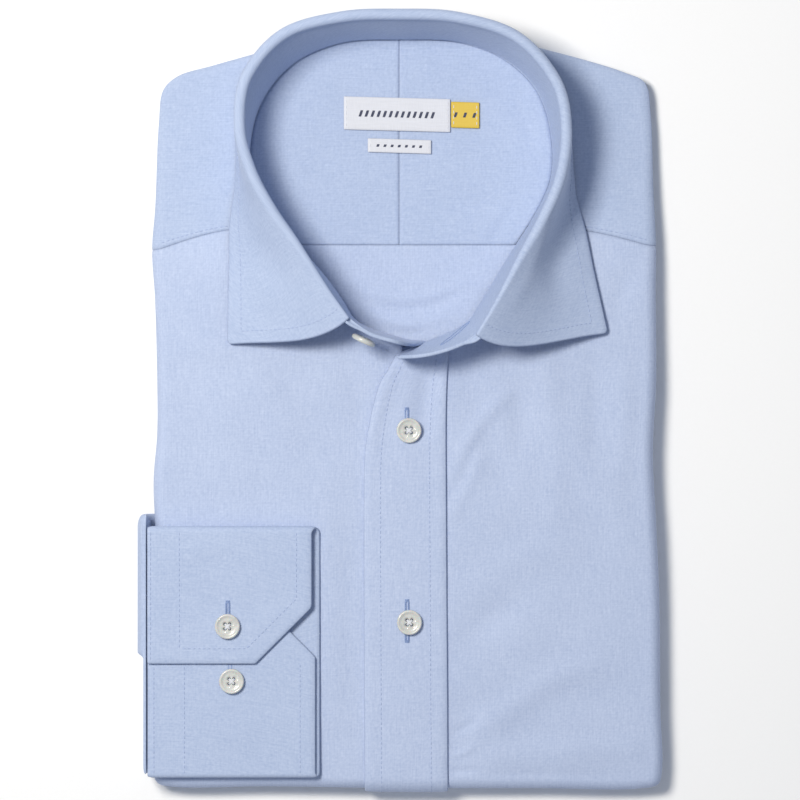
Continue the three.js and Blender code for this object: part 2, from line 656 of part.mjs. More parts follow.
function cuffLayerTop(layer) {
  return cuffBase() + CUFF_WALL + CUFF_PITCH * (layer - 1);
}

// Middle line of the wound cloth in the Y-Z plane, with the right end of each section
function cuffPath() {
  const middle = (layer) => cuffLayerTop(layer) - CUFF_WALL / 2;
  const path = [];
  const add = (y, z, right, normalY, normalZ) => path.push({ y, z, right, normalY, normalZ });
  const mitred = (right, run) => right - Math.max(CUFF.mitre - run, 0);
  const innerRun = CUFF.innerEnd - (CUFF.bottomFold + 2);
  CUFF_RUNS.forEach((run) => add(CUFF.innerEnd - run, middle(2), mitred(CUFF.innerRight, run), 0, 1));
  add(CUFF.innerEnd - innerRun, middle(2), CUFF.innerRight, 0, 1);
  const turn = (centreY, lowZ, highZ, firstAngle, lastAngle, fromRight, toRight) => {
    const radius = (highZ - lowZ) / 2;
    const steps = CUFF_STEPS.turn;
    for (let k = 0; k <= steps; k += 1) {
      const angle = (firstAngle + ((lastAngle - firstAngle) * k) / steps) * DEGREE;
      const right = fromRight + ((toRight - fromRight) * k) / steps;
      add(centreY + radius * Math.cos(angle), lowZ + radius + radius * Math.sin(angle), right,
        Math.cos(angle), Math.sin(angle));
    }
  };
  const lowRadius = (middle(2) - middle(1)) / 2;
  const highRadius = (middle(3) - middle(1)) / 2;
  const edge = CUFF_WALL / 2;
  turn(CUFF.bottomFold + lowRadius + edge, middle(1), middle(2), 90, 270, CUFF.innerRight, CUFF.backRight);
  add(CUFF_MIDDLE.y, middle(1), CUFF.backRight, 0, -1);
  turn(CUFF.topFold - highRadius - edge, middle(1), middle(3), -90, 90, CUFF.backRight, CUFF.outerRight);
  const outerRun = CUFF.topFold - highRadius - CUFF.outerEnd;
  CUFF_RUNS.filter((run) => run < outerRun).reverse().forEach((run) => {
    add(CUFF.outerEnd + run, middle(3), mitred(CUFF.outerRight, run), 0, 1);
  });
  return path;
}

function cuff() {
  const columns = CUFF_STEPS.across;
  const rows = cuffPath().map((section) => Array.from({ length: columns + 1 }, (_, k) => (
    new THREE.Vector3(
      CUFF.left + ((section.right - CUFF.left) * k) / columns,
      section.y + (section.normalY * CUFF_WALL) / 2,
      section.z + (section.normalZ * CUFF_WALL) / 2,
    )
  )));
  return wall(rows.reverse(), CUFF_WALL);
}

function sleeveLayer(row, y) {
  const { placketEdge, spread: reach } = SLEEVE;
  const spread = THREE.MathUtils.smoothstep(y, placketEdge - reach, placketEdge + reach);
  const pushedOut = Math.min(row.outerX - SLEEVE.tuckedX, 0);
  return {
    outer: new THREE.Vector3(row.outerX - pushedOut * (1 - spread), y, row.outerZ),
    inner: new THREE.Vector3(row.innerX, y, row.innerZ),
  };
}

function sleeveLoop(row) {
  const outer = SLEEVE_STOPS.map((y) => sleeveLayer(row, y).outer);
  const inner = SLEEVE_STOPS.map((y) => sleeveLayer(row, y).inner);
  const turn = (y, sense) => {
    const { outer: from, inner: to } = sleeveLayer(row, y);
    const middle = from.clone().add(to).divideScalar(2);
    const half = from.clone().sub(to).divideScalar(2);
    const depth = sense > 0 ? SLEEVE.top - y : y - SLEEVE.bottom;
    return SLEEVE_TURNS.map((angle) => {
      const point = middle.clone().addScaledVector(half, Math.cos(angle * DEGREE));
      point.y = y + sense * depth * Math.sin(angle * DEGREE);
      return point;
    });
  };
  const topTurn = turn(SLEEVE_STOPS[SLEEVE_STOPS.length - 1], 1);
  const bottomTurn = turn(SLEEVE_STOPS[0], -1).reverse();
  return [...outer, ...topTurn, ...inner.reverse(), ...bottomTurn];
}

function sleeve() {
  return wall(SLEEVE_PROFILE.map(sleeveLoop), SLEEVE_WALL, true);
}

// The hidden layers as one rounded solid, hollowed at the neck

function rayToSeam(angle) {
  const direction = new THREE.Vector2(Math.cos(angle), Math.sin(angle));
  let best = 0;
  let bestTurn = Infinity;
  for (let i = 0; i <= SEAM_SAMPLES; i += 1) {
    const point = neckSeam.getPointAt(i / SEAM_SAMPLES);
    const offset = new THREE.Vector2(point.x, point.y).sub(NECK_CENTRE);
    const turn = 1 - offset.dot(direction) / offset.length();
    if (turn < bestTurn) {
      best = offset.length();
      bestTurn = turn;
    }
  }
  return best;
}

function sleeveNotch(x, y) {
  if (x > 0) return 0;
  const rise = THREE.MathUtils.smoothstep(y, -178, -170);
  const fall = 1 - THREE.MathUtils.smoothstep(y, -48, -38);
  return SLEEVE_NOTCH * rise * fall;
}

function cornerEase(x, y) {
  const side = THREE.MathUtils.smoothstep(Math.abs(x), 92, 106);
  return CORNER_EASE * side * THREE.MathUtils.smoothstep(Math.abs(y), 120, 140);
}

function coreSpoke(share) {
  const edge = outline.getPointAt(share);
  const outward = outwardAt(share);
  const offset = new THREE.Vector2(edge.x, edge.y).sub(NECK_CENTRE);
  const distance = offset.length();
  const direction = offset.clone().divideScalar(distance);
  const seam = rayToSeam(offset.angle());
  const centre = new THREE.Vector3(NECK_CENTRE.x, NECK_CENTRE.y, 0);
  const ray = new THREE.Vector3(direction.x, direction.y, 0);
  const at = (reach) => centre.clone().addScaledVector(ray, reach);
  const under = CLOTH_WALL + CORE_CLEARANCE;
  const dish = (reach) => {
    const point = at(reach);
    point.z = Math.min(insideHeight(point.x, point.y), smoothHeight(point.x, point.y)) - under;
    return point;
  };
  const seamPoint = at(seam);
  const open = THREE.MathUtils.smoothstep(seamPoint.y, 70, 80);
  const ledge = seam + NECK_LEDGE * (1 - open) + OPEN_LEDGE * open;
  const slope = ledge + LEDGE_SLOPE * (1 - open) + OPEN_LEDGE * open;
  const across = Math.max(direction.x * outward.x + direction.y * outward.y, 0.25);
  const width = Math.min(ROLL_WIDTH, (distance - seam) * across * ROLL_SHARE);
  const rollStart = distance - width / across;
  const points = [0.3, 0.65, 0.9].map((part) => dish(seam * part));
  points.push(dish(seam), dish(Math.min(ledge, rollStart - 1)));
  const first = Math.min(slope, rollStart - 0.5);
  [0, 0.25, 0.5, 0.75, 1].forEach((part) => {
    const point = at(first + (rollStart - first) * part);
    point.z = smoothHeight(point.x, point.y) - under;
    points.push(point);
  });
  const start = at(rollStart);
  const half = (smoothHeight(start.x, start.y) - ROLL_FLOOR) / 2;
  const innerWidth = Math.max(width - under - 0.2, 0.6);
  const innerHalf = Math.max(half - under, 0.3);
  [35, 70, 105, 150].forEach((angle) => {
    const inset = width - innerWidth * Math.sin(angle * DEGREE) + cornerEase(edge.x, edge.y);
    const point = at(distance - inset / across);
    point.z = ROLL_FLOOR + half + innerHalf * Math.cos(angle * DEGREE);
    points.push(point);
  });
  CORE_LAYERS.forEach((layer) => {
    const inset = layer.inset + sleeveNotch(edge.x, edge.y) + cornerEase(edge.x, edge.y);
    const point = at(distance - inset / across);
    point.z = layer.z;
    points.push(point);
  });
  points.push(at(distance * 0.5));
  return points;
}

function foldedCore() {
  const count = CORE_SPOKES;
  const spokes = Array.from({ length: count }, (_, i) => coreSpoke(i / count));
  const loops = spokes[0].map((_, k) => spokes.map((spoke) => spoke[k]));
  return loftedSolid(loops);
}

// Four-hole buttons with a raised rim

function toManifold(geometry) {
  const bare = geometry.clone();
  bare.deleteAttribute('normal');
  bare.deleteAttribute('uv');
  const merged = mergeVertices(bare, 1e-4);
  return new wasm.Manifold(new wasm.Mesh({
    numProp: 3,
    vertProperties: new Float32Array(merged.attributes.position.array),
    triVerts: new Uint32Array(merged.index.array),
  }));
}

function toGeometry(manifold) {
  const mesh = manifold.getMesh();
  const geometry = new THREE.BufferGeometry();
  geometry.setAttribute('position', new THREE.Float32BufferAttribute(mesh.vertProperties, 3));
  geometry.setIndex(Array.from(mesh.triVerts));
  geometry.computeVertexNormals();
  return geometry;
}

function buttonGeometry() {
  const { radius, thickness, rim, dish, holeRadius, holeOffset } = BUTTON;
  const half = thickness / 2;
  const profile = [
    [0, -half], [radius - 1.4, -half], [radius, -half + 0.9], [radius, half - 0.5], [radius - 0.5, half],
    [radius - rim, half], [radius - rim - 0.7, half - dish], [0, half - dish],
  ].map(([x, y]) => new THREE.Vector2(x, y));
  let body = toManifold(new THREE.LatheGeometry(profile, BUTTON_SIDES.rim).rotateX(Math.PI / 2));
  [[1, 1], [-1, 1], [-1, -1], [1, -1]].forEach(([sideX, sideY]) => {
    const hole = new THREE.CylinderGeometry(holeRadius, holeRadius, thickness * 2, BUTTON_SIDES.hole);
    hole.rotateX(Math.PI / 2);
    hole.translate(sideX * holeOffset * Math.SQRT1_2, sideY * holeOffset * Math.SQRT1_2, 0);
    body = body.subtract(toManifold(hole));
  });
  return toGeometry(body);
}

const shirt = new THREE.Group();

function piece(name, geometry, finish = SHIRTING) {
  const mesh = new THREE.Mesh(geometry, new THREE.MeshStandardMaterial(finish));
  mesh.name = name;
  shirt.add(mesh);
  return mesh;
}

piece('folded_core', foldedCore());
piece('front_button_side', frontButtonSide());
piece('front_buttonhole_side', frontButtonholeSide());
piece('placket', placket());
piece('yoke_outside_left', yokeOutside(LEFT_SHOULDER, -1, SHOULDER_BOW.left));
piece('yoke_outside_right', yokeOutside(RIGHT_SHOULDER, 1, SHOULDER_BOW.right));
piece('yoke_inside_left', yokeInside(-1));
piece('yoke_inside_right', yokeInside(1));
piece('back_inside', backInside());
piece('collar_stand', collarStand());
piece('collar_leaf', collarLeaf());
piece('cuff', cuff());
piece('sleeve', sleeve());
LABELS.forEach((row) => piece(row.name, label(row), { color: row.colour, roughness: 0.6, metalness: 0 }));

const seatedButton = buttonGeometry();
FRONT_BUTTONS.forEach(({ name, x, y }) => {
  const seat = placketPoint(x, y).z + SEAM_GAP;
  piece(name, seatedButton, PEARL).position.set(x, y, seat + BUTTON.thickness / 2);
});
CUFF_BUTTONS.forEach(({ name, x, y, layer }) => {
  piece(name, seatedButton, PEARL).position.set(x, y, cuffLayerTop(layer) + SEAM_GAP + BUTTON.thickness / 2);
});
const collarButton = piece(COLLAR_BUTTON.name, seatedButton, PEARL);
collarButton.rotation.set(0, (90 - COLLAR_BUTTON.lean) * DEGREE, COLLAR_BUTTON.turn * DEGREE, 'ZYX');
collarButton.position.set(COLLAR_BUTTON.x, COLLAR_BUTTON.y, COLLAR_BUTTON.z);

export default shirt;
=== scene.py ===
"""A long sleeve dress shirt, folded for display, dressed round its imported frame.

Sizes are in millimetres, as on the garment, and become metres when a mesh is made.
+X points to the buttonhole side, +Y to the collar and +Z up from the resting surface.
"""

import logging
from collections.abc import Callable, Sequence
from dataclasses import dataclass, field
from enum import Enum

import bpy
import numpy as np
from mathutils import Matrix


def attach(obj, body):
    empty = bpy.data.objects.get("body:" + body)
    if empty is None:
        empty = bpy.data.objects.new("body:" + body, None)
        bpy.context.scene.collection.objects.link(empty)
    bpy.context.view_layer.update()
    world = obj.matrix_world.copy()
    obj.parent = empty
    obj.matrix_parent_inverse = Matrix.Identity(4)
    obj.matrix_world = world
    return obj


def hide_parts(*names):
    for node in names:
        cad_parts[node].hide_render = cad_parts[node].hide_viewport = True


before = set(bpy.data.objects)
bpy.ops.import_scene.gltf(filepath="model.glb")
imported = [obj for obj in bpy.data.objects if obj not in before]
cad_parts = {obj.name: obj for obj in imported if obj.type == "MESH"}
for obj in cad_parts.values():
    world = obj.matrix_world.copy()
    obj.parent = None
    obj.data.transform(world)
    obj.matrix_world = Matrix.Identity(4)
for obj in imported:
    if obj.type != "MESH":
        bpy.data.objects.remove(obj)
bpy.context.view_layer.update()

BODY = "root"
MM = 0.001
SEAM_GAP = 0.3
SEAM_LINE = 0.16
CUT = "cut"

Array = np.ndarray
Colour = tuple[float, float, float]
Pair = tuple[float, float]

log = logging.getLogger("shirt")


class Slot(Enum):
    """Material slots of the record."""

    SHIRTING = "shirting"
    WHITE = "label_white"
    YELLOW = "label_yellow"
    BUTTON = "button"


class Grain(Enum):
    """Which way the warp threads run on a piece's flat cut."""

    LENGTHWISE = "lengthwise"
    CROSSWISE = "crosswise"


class Side(Enum):
    """Sides of the shirt seen from above, with the sign of their X."""

    LEFT = -1
    RIGHT = 1


# Curves and tables


def smoothstep(value: Array, low: float, high: float) -> Array:
    """Rise smoothly from 0 at low to 1 at high."""
    share = np.clip((value - low) / (high - low), 0.0, 1.0)
    return share * share * (3.0 - 2.0 * share)


def through(values: Array, at: Array) -> Array:
    """Read a smooth curve through evenly counted values.

    Args:
        values: One value, or one row of values, for each whole count.
        at: The counts to read at, fractions allowed.

    Returns:
        The curve's value at each count.
    """
    last = len(values) - 1
    held = np.clip(at, 0, last)
    index = np.minimum(held.astype(int), last - 1)
    share = (held - index).reshape(held.shape + (1,) * (values.ndim - 1))
    ends = np.concatenate(([2 * values[0] - values[1]], values, [2 * values[-1] - values[-2]]))
    p0, p1, p2, p3 = (ends[index + k] for k in range(4))
    bend = 2 * p0 - 5 * p1 + 4 * p2 - p3
    twist = -p0 + 3 * p1 - 3 * p2 + p3
    return p1 + 0.5 * share * (p2 - p0 + share * (bend + share * twist))


@dataclass(frozen=True)
class Table:
    """Rows of sizes under named columns, read smoothly between the rows."""

    names: tuple[str, ...]
    rows: tuple[tuple[float, ...], ...]

    def column(self, name: str) -> Array:
        """Return one column as numbers."""
        return np.array([row[self.names.index(name)] for row in self.rows])

    def columns(self, *names: str) -> Array:
        """Return several columns side by side."""
        return np.column_stack([self.column(name) for name in names])

    def by(self, key: str, name: str, value: Array) -> Array:
        """Read a column where another column has a value.

        Args:
            key: The column that only rises or only falls.
            name: The column to read.
            value: The key's values to read at.

        Returns:
            The smooth value of the column for each key value.
        """
        keys = self.column(key)
        counts = np.arange(len(keys), dtype=float)
        order = slice(None, None, 1 if keys[-1] > keys[0] else -1)
        return through(self.column(name), np.interp(value, keys[order], counts[order]))


class PlanCurve:
    """A smooth curve through points seen from above, measured along its length."""

    STEPS = 24

    def __init__(self, points: Array, closed: bool = False) -> None:
        """Lay the curve.

        Args:
            points: The points that it goes through, as rows of X and Y.
            closed: Whether it runs back to its first point.
        """
        known = np.asarray(points, dtype=float)
        if closed:
            chain = np.vstack([known[-1:], known, known[:2]])
        else:
            chain = np.vstack([2 * known[:1] - known[1:2], known, 2 * known[-1:] - known[-2:-1]])
        spans = [self._span(chain[k:k + 4]) for k in range(len(chain) - 3)]
        self.closed = closed
        self.line = np.vstack([*spans, chain[-2:-1]])
        steps = np.linalg.norm(np.diff(self.line, axis=0), axis=1)
        self.reach = np.concatenate(([0.0], np.cumsum(steps)))
        self.length = float(self.reach[-1])

    def _span(self, four: Array) -> Array:
        """Return the points of the stretch between the middle two of four points."""
        gaps = np.maximum(np.linalg.norm(np.diff(four, axis=0), axis=1) ** 0.5, 1e-4)
        p0, p1, p2, p3 = four
        leave = (p1 - p0) / gaps[0] - (p2 - p0) / (gaps[0] + gaps[1]) + (p2 - p1) / gaps[1]
        arrive = (p2 - p1) / gaps[1] - (p3 - p1) / (gaps[1] + gaps[2]) + (p3 - p2) / gaps[2]
        leave, arrive = leave * gaps[1], arrive * gaps[1]
        t = (np.arange(self.STEPS) / self.STEPS)[:, None]
        square = -3 * p1 + 3 * p2 - 2 * leave - arrive
        cube = 2 * p1 - 2 * p2 + leave + arrive
        return p1 + t * (leave + t * (square + t * cube))

    def at(self, share: Array) -> Array:
        """Return the points at shares of the length."""
        share = np.asarray(share, dtype=float)
        held = np.mod(share, 1.0) if self.closed else np.clip(share, 0.0, 1.0)
        reach = held * self.length
        return np.stack([np.interp(reach, self.reach, self.line[:, k]) for k in range(2)], axis=-1)

    def tangent(self, share: Array) -> Array:
        """Return the direction of travel at shares of the length."""
        share = np.asarray(share, dtype=float)
        step = self.at(share + 0.0008) - self.at(share - 0.0008)
        return step / np.linalg.norm(step, axis=-1, keepdims=True)

    def nearest(self, x: float, y: float) -> float:
        """Return the share of the length that lies nearest a point."""
        start, span = self.line[:-1], np.diff(self.line, axis=0)
        offset = np.array([x, y]) - start
        share = np.clip((offset * span).sum(1) / np.maximum((span * span).sum(1), 1e-12), 0, 1)
        best = int(np.argmin(np.linalg.norm(offset - span * share[:, None], axis=1)))
        part = share[best] * (self.reach[best + 1] - self.reach[best])
        return float((self.reach[best] + part) / self.length)


@dataclass(frozen=True)
class Crease:
    """A soft fold in the cloth, seen from above.

    Attributes:
        path: The points that it runs through.
        reach: How far it spreads to each side.
        rise: Its height, below 0 for a trough.
        lean: How much more of it lies to the right of its path, from -1 to 1.
    """

    path: tuple[Pair, ...]
    reach: float
    rise: float
    lean: float = 0.0

    def height(self, x: Array, y: Array) -> Array:
        """Return how much it lifts the cloth at each place."""
        line = PlanCurve(np.array(self.path)).line[::4]
        best = np.full(x.shape, 1e9)
        side = np.zeros(x.shape)
        along = np.zeros(x.shape)
        count = len(line) - 1
        for index, (start, end) in enumerate(zip(line[:-1], line[1:])):
            span = end - start
            across = (x - start[0]) * span[0] + (y - start[1]) * span[1]
            share = np.clip(across / (span @ span), 0, 1)
            dx, dy = x - start[0] - share * span[0], y - start[1] - share * span[1]
            distance = np.hypot(dx, dy)
            nearer = distance < best
            best = np.where(nearer, distance, best)
            side = np.where(nearer, np.sign(dx * span[1] - dy * span[0]), side)
            along = np.where(nearer, (index + share) / count, along)
        scaled = best / self.reach
        fade = np.sin(np.pi * np.clip(along, 0.02, 0.98)) ** 0.7
        return self.rise * np.exp(-scaled * scaled) * (1 + self.lean * side * np.minimum(scaled, 1)) * fade


@dataclass(frozen=True)
class Ripple:
    """The slight unevenness of cloth that has been pressed and handled."""

    seed: int
    size: float
    height: float
    waves: int = 9

    def at(self, x: Array, y: Array) -> Array:
        """Return its height at each place."""
        rng = np.random.default_rng(self.seed)
        total = np.zeros(np.shape(x))
        for _ in range(self.waves):
            turn, phase = rng.uniform(0, 2 * np.pi, 2)
            pitch = self.size * rng.uniform(0.6, 1.7)
            total += np.sin(2 * np.pi * (x * np.cos(turn) + y * np.sin(turn)) / pitch + phase)
        return self.height * total / np.sqrt(self.waves)


# Cloth as a grid of points with thickness


@dataclass
class Surface:
    """The outside of a piece of cloth as a grid of points.

    Attributes:
        points: Rows by columns by X, Y and Z.
        cut: The same places on the flat cut, rows by columns by two lengths.
        closed: Whether the last column joins the first.
    """

    points: Array
    cut: Array
    closed: bool = False

    def normals(self) -> Array:
        """Return the outward direction at each point."""
        if self.closed:
            across = np.roll(self.points, -1, axis=1) - np.roll(self.points, 1, axis=1)
        else:
            across = np.gradient(self.points, axis=1)
        normal = np.cross(across, np.gradient(self.points, axis=0))
        return normal / np.maximum(np.linalg.norm(normal, axis=2, keepdims=True), 1e-9)

    def raised(self, height: Array) -> "Surface":
        """Return the surface moved out along its normals."""
        return Surface(self.points + self.normals() * height[..., None], self.cut, self.closed)

    def sample(self, row: Array, column: Array) -> tuple[Array, Array]:
        """Read points between the grid's own.

        Args:
            row: Row counts, fractions allowed.
            column: Column counts of the same shape.

        Returns:
            The points and the outward directions there.
        """
        rows, columns = self.points.shape[:2]
        j = np.clip(row, 0, rows - 1.001)
        i = np.clip(column, 0, columns - 1.001)
        j0, i0 = j.astype(int), i.astype(int)
        fj, fi = (j - j0)[..., None], (i - i0)[..., None]

        def mixed(grid: Array) -> Array:
            """Blend the four grid values round each place."""
            near = grid[j0, i0] * (1 - fi) + grid[j0, i0 + 1] * fi
            far = grid[j0 + 1, i0] * (1 - fi) + grid[j0 + 1, i0 + 1] * fi
            return near * (1 - fj) + far * fj

        return mixed(self.points), mixed(self.normals())

    def spans(self, axis: int) -> Array:
        """Return lengths along the grid from its start, along rows (0) or columns (1)."""
        steps = np.linalg.norm(np.diff(self.points, axis=axis), axis=2)
        start = np.zeros_like(steps.take([0], axis=axis))
        return np.concatenate([start, np.cumsum(steps, axis=axis)], axis=axis)


def arc_cut(points: Array) -> Array:
    """Lay a grid out flat by its own lengths.

    Args:
        points: Rows by columns by X, Y and Z.

    Returns:
        For each point its length along its row and along its column.
    """
    bare = Surface(points, points[..., :2])
    return np.stack([bare.spans(1), bare.spans(0)], axis=-1)


@dataclass(frozen=True)
class Edge:
    """How the edge of a piece of cloth is finished.

    Attributes:
        soften: How far the outer side drops at the edge, as a share of the thickness.
        bulge: How far the edge stands out, as a share of the thickness.
    """

    soften: float = 0.3
    bulge: float = 0.12


SEWN_EDGE = Edge(soften=0.18, bulge=0.05)
TURNED_EDGE = Edge(soften=0.25, bulge=0.4)


def shell(surface: Surface, thickness: float, edge: Edge = SEWN_EDGE) -> tuple[Array, Array, Array]:
    """Give a surface its thickness, with a rounded rim.

    Args:
        surface: The outside of the cloth.
        thickness: How thick the cloth is.
        edge: The finish of its edge.

    Returns:
        Points, faces of four corners, and the flat cut of each point.
    """
    rows, columns = surface.points.shape[:2]
    size = rows * columns
    index = np.arange(size).reshape(rows, columns)
    ahead = np.roll(index, -1, axis=1) if surface.closed else index[:, 1:]
    here = index if surface.closed else index[:, :-1]
    outer = np.stack([here[:-1], ahead[:-1], ahead[1:], here[1:]], axis=-1).reshape(-1, 4)
    if surface.closed:
        loops = [index[0], index[-1][::-1]]
    else:
        loops = [np.concatenate([index[0], index[1:, -1], index[-1, -2::-1], index[-2:0:-1, 0]])]
    normals = surface.normals().reshape(-1, 3)
    top = surface.points.reshape(-1, 3).copy()
    bottom = top - normals * thickness
    faces = [outer, outer[:, ::-1] + size]
    points, cuts = [top, bottom], [surface.cut.reshape(-1, 2)] * 2
    count = 2 * size
    for loop in loops:
        travel = top[np.roll(loop, -1)] - top[np.roll(loop, 1)]
        out = np.cross(travel, normals[loop])
        out /= np.maximum(np.linalg.norm(out, axis=1, keepdims=True), 1e-9)
        middle = (top[loop] + bottom[loop]) / 2 + out * thickness * edge.bulge
        rim = count + np.arange(len(loop))
        count += len(loop)
        points.append(middle)
        cuts.append(surface.cut.reshape(-1, 2)[loop])
        loop_next, rim_next = np.roll(loop, -1), np.roll(rim, -1)
        faces.append(np.stack([loop_next, loop, rim, rim_next], axis=-1))
        faces.append(np.stack([rim_next, rim, loop + size, loop_next + size], axis=-1))
    for loop in loops:
        top[loop] -= normals[loop] * thickness * edge.soften
    return np.vstack(points), np.vstack(faces), np.vstack(cuts)


def make_object(name: str, points: Array, faces: Array | list, cut: Array | None = None) -> bpy.types.Object:
    """Make a smooth shaded mesh object.

    Args:
        name: The object's name.
        points: Points in millimetres.
        faces: Corner numbers of each face.
        cut: Each point's place on the flat cut, in millimetres.

    Returns:
        The new object, at the origin.
    """
    mesh = bpy.data.meshes.new(name)
    listed = faces.tolist() if isinstance(faces, np.ndarray) else faces
    mesh.from_pydata((points * MM).tolist(), [], listed)
    flat = points[:, :2] if cut is None else cut
    place = np.column_stack([flat, np.zeros(len(flat))]) * MM
    mesh.attributes.new(CUT, "FLOAT_VECTOR", "POINT").data.foreach_set("vector", place.ravel())
    mesh.polygons.foreach_set("use_smooth", np.ones(len(mesh.polygons), dtype=bool))
    mesh.update()
    made = bpy.data.objects.new(name, mesh)
    bpy.context.scene.collection.objects.link(made)
    return made


# Finishes


class Recipe:
    """A node material that is put together step by step."""

    def __init__(self, name: str) -> None:
        """Start with a bare principled shader.

        Args:
            name: The material's name.
        """
        self.material = bpy.data.materials.new(name)
        self.material.use_nodes = True
        self.tree = self.material.node_tree
        self.tree.nodes.clear()
        self.shader = self.tree.nodes.new("ShaderNodeBsdfPrincipled")
        output = self.tree.nodes.new("ShaderNodeOutputMaterial")
        self.tree.links.new(self.shader.outputs[0], output.inputs["Surface"])

    def add(self, kind: str, inputs: dict | None = None, **settings: object) -> bpy.types.NodeSocket:
        """Add a node.

        Args:
            kind: The node type's name after "ShaderNode".
            inputs: A socket or a value for each input, by name or number.
            **settings: The node's own settings.

        Returns:
            The node's first output.
        """
        node = self.tree.nodes.new("ShaderNode" + kind)
        for name, value in settings.items():
            setattr(node, name, value)
        for name, value in (inputs or {}).items():
            self.feed(node.inputs[name], value)
        return node.outputs[0]

    def cut_place(self) -> bpy.types.NodeSocket:
        """Read each point's place on the flat cut."""
        self.add("Attribute", attribute_name=CUT)
        return self.tree.nodes[-1].outputs["Vector"]

    def object_place(self) -> bpy.types.NodeSocket:
        """Read each point's place on the object."""
        self.add("TexCoord")
        return self.tree.nodes[-1].outputs["Object"]

    def feed(self, socket: bpy.types.NodeSocket, value: object) -> None:
        """Link a socket to another one, or set its value."""
        if isinstance(value, bpy.types.NodeSocket):
            self.tree.links.new(value, socket)
        else:
            socket.default_value = value

    def maths(self, operation: str, first: object, second: object) -> bpy.types.NodeSocket:
        """Combine two numbers."""
        return self.add("Math", {0: first, 1: second}, operation=operation)

    def mixed(self, share: object, first: Colour, second: Colour) -> bpy.types.NodeSocket:
        """Blend two colours by a share."""
        ends = {"Fac": share, "Color1": (*first, 1.0), "Color2": (*second, 1.0)}
        return self.add("MixRGB", ends)

    def threads(self, place: bpy.types.NodeSocket, scale: tuple, detail: float) -> bpy.types.NodeSocket:
        """Make noise that is stretched along one direction.

        Args:
            place: The coordinates to read.
            scale: How many features there are in a metre along each of three axes.
            detail: How many finer layers lie on it.

        Returns:
            The noise, from 0 to 1.
        """
        stretched = self.add("VectorMath", {0: place, 1: scale}, operation="MULTIPLY")
        return self.add("TexNoise", {"Vector": stretched, "Scale": 1.0, "Detail": detail})

    def finish(self, **sockets: object) -> bpy.types.Material:
        """Feed the shader's own sockets and return the material."""
        for name, value in sockets.items():
            self.feed(self.shader.inputs[name.replace("_", " ")], value)
        return self.material


@dataclass(frozen=True)
class Shirting:
    """Fine cotton twill woven from blue and pale threads that are uneven in thickness."""

    name: str
    grain: Grain = Grain.LENGTHWISE
    deep: Colour = (0.365, 0.445, 0.640)
    pale: Colour = (0.580, 0.655, 0.835)
    yarns_per_metre: float = 1900.0
    slubs_per_metre: float = 110.0
    mottles_per_metre: float = 950.0
    relief: float = 0.00007

    def material(self) -> bpy.types.Material:
        """Weave the finish."""
        make = Recipe(self.name)
        place = make.cut_place()
        fine, long = self.yarns_per_metre, self.slubs_per_metre
        warp = make.threads(place, (fine, long, 1.0), 2.0)
        weft = make.threads(place, (long, fine, 1.0), 2.0)
        if self.grain is Grain.CROSSWISE:
            warp, weft = weft, warp
        turned = make.add("VectorRotate", {"Vector": place, "Angle": 0.9}, rotation_type="Z_AXIS")
        mottle = make.threads(turned, (self.mottles_per_metre, self.mottles_per_metre * 0.7, 1.0), 2.0)
        cloud = make.threads(place, (26.0, 26.0, 1.0), 3.0)
        yarn = make.maths("ADD", make.maths("MULTIPLY", warp, 0.36), make.maths("MULTIPLY", weft, 0.22))
        yarn = make.maths("ADD", yarn, make.maths("MULTIPLY", mottle, 0.42))
        share = make.maths("ADD", make.maths("MULTIPLY", yarn, 1.9), make.maths("MULTIPLY", cloud, 0.3))
        tone = make.mixed(make.maths("SUBTRACT", share, 0.6), self.deep, self.pale)
        bump = make.add("Bump", {"Height": yarn, "Strength": 0.6, "Distance": self.relief})
        return make.finish(Base_Color=tone, Normal=bump, Roughness=0.82, Specular_IOR_Level=0.28,
                           Sheen_Weight=0.12, Sheen_Roughness=0.4)


@dataclass(frozen=True)
class Thread:
    """Sewing thread, twisted from two strands."""

    name: str
    deep: Colour
    pale: Colour
    twists_per_metre: float = 1400.0

    def material(self) -> bpy.types.Material:
        """Spin the finish."""
        make = Recipe(self.name)
        place = make.object_place()
        twist = make.threads(place, (self.twists_per_metre,) * 3, 1.0)
        tone = make.mixed(twist, self.deep, self.pale)
        bump = make.add("Bump", {"Height": twist, "Strength": 0.5, "Distance": 0.00006})
        return make.finish(Base_Color=tone, Normal=bump, Roughness=0.6, Sheen_Weight=0.1)


@dataclass(frozen=True)
class LabelCloth:
    """Closely woven satin tape."""

    name: str
    deep: Colour
    pale: Colour
    picks_per_metre: float = 2600.0

    def material(self) -> bpy.types.Material:
        """Weave the finish."""
        make = Recipe(self.name)
        place = make.cut_place()
        picks = make.threads(place, (90.0, self.picks_per_metre, 1.0), 1.0)
        ends = make.threads(place, (self.picks_per_metre, 200.0, 1.0), 1.0)
        weave = make.maths("MULTIPLY", make.maths("ADD", picks, ends), 0.5)
        tone = make.mixed(weave, self.deep, self.pale)
        bump = make.add("Bump", {"Height": weave, "Strength": 0.5, "Distance": 0.00005})
        return make.finish(Base_Color=tone, Normal=bump, Roughness=0.55, Sheen_Weight=0.1)


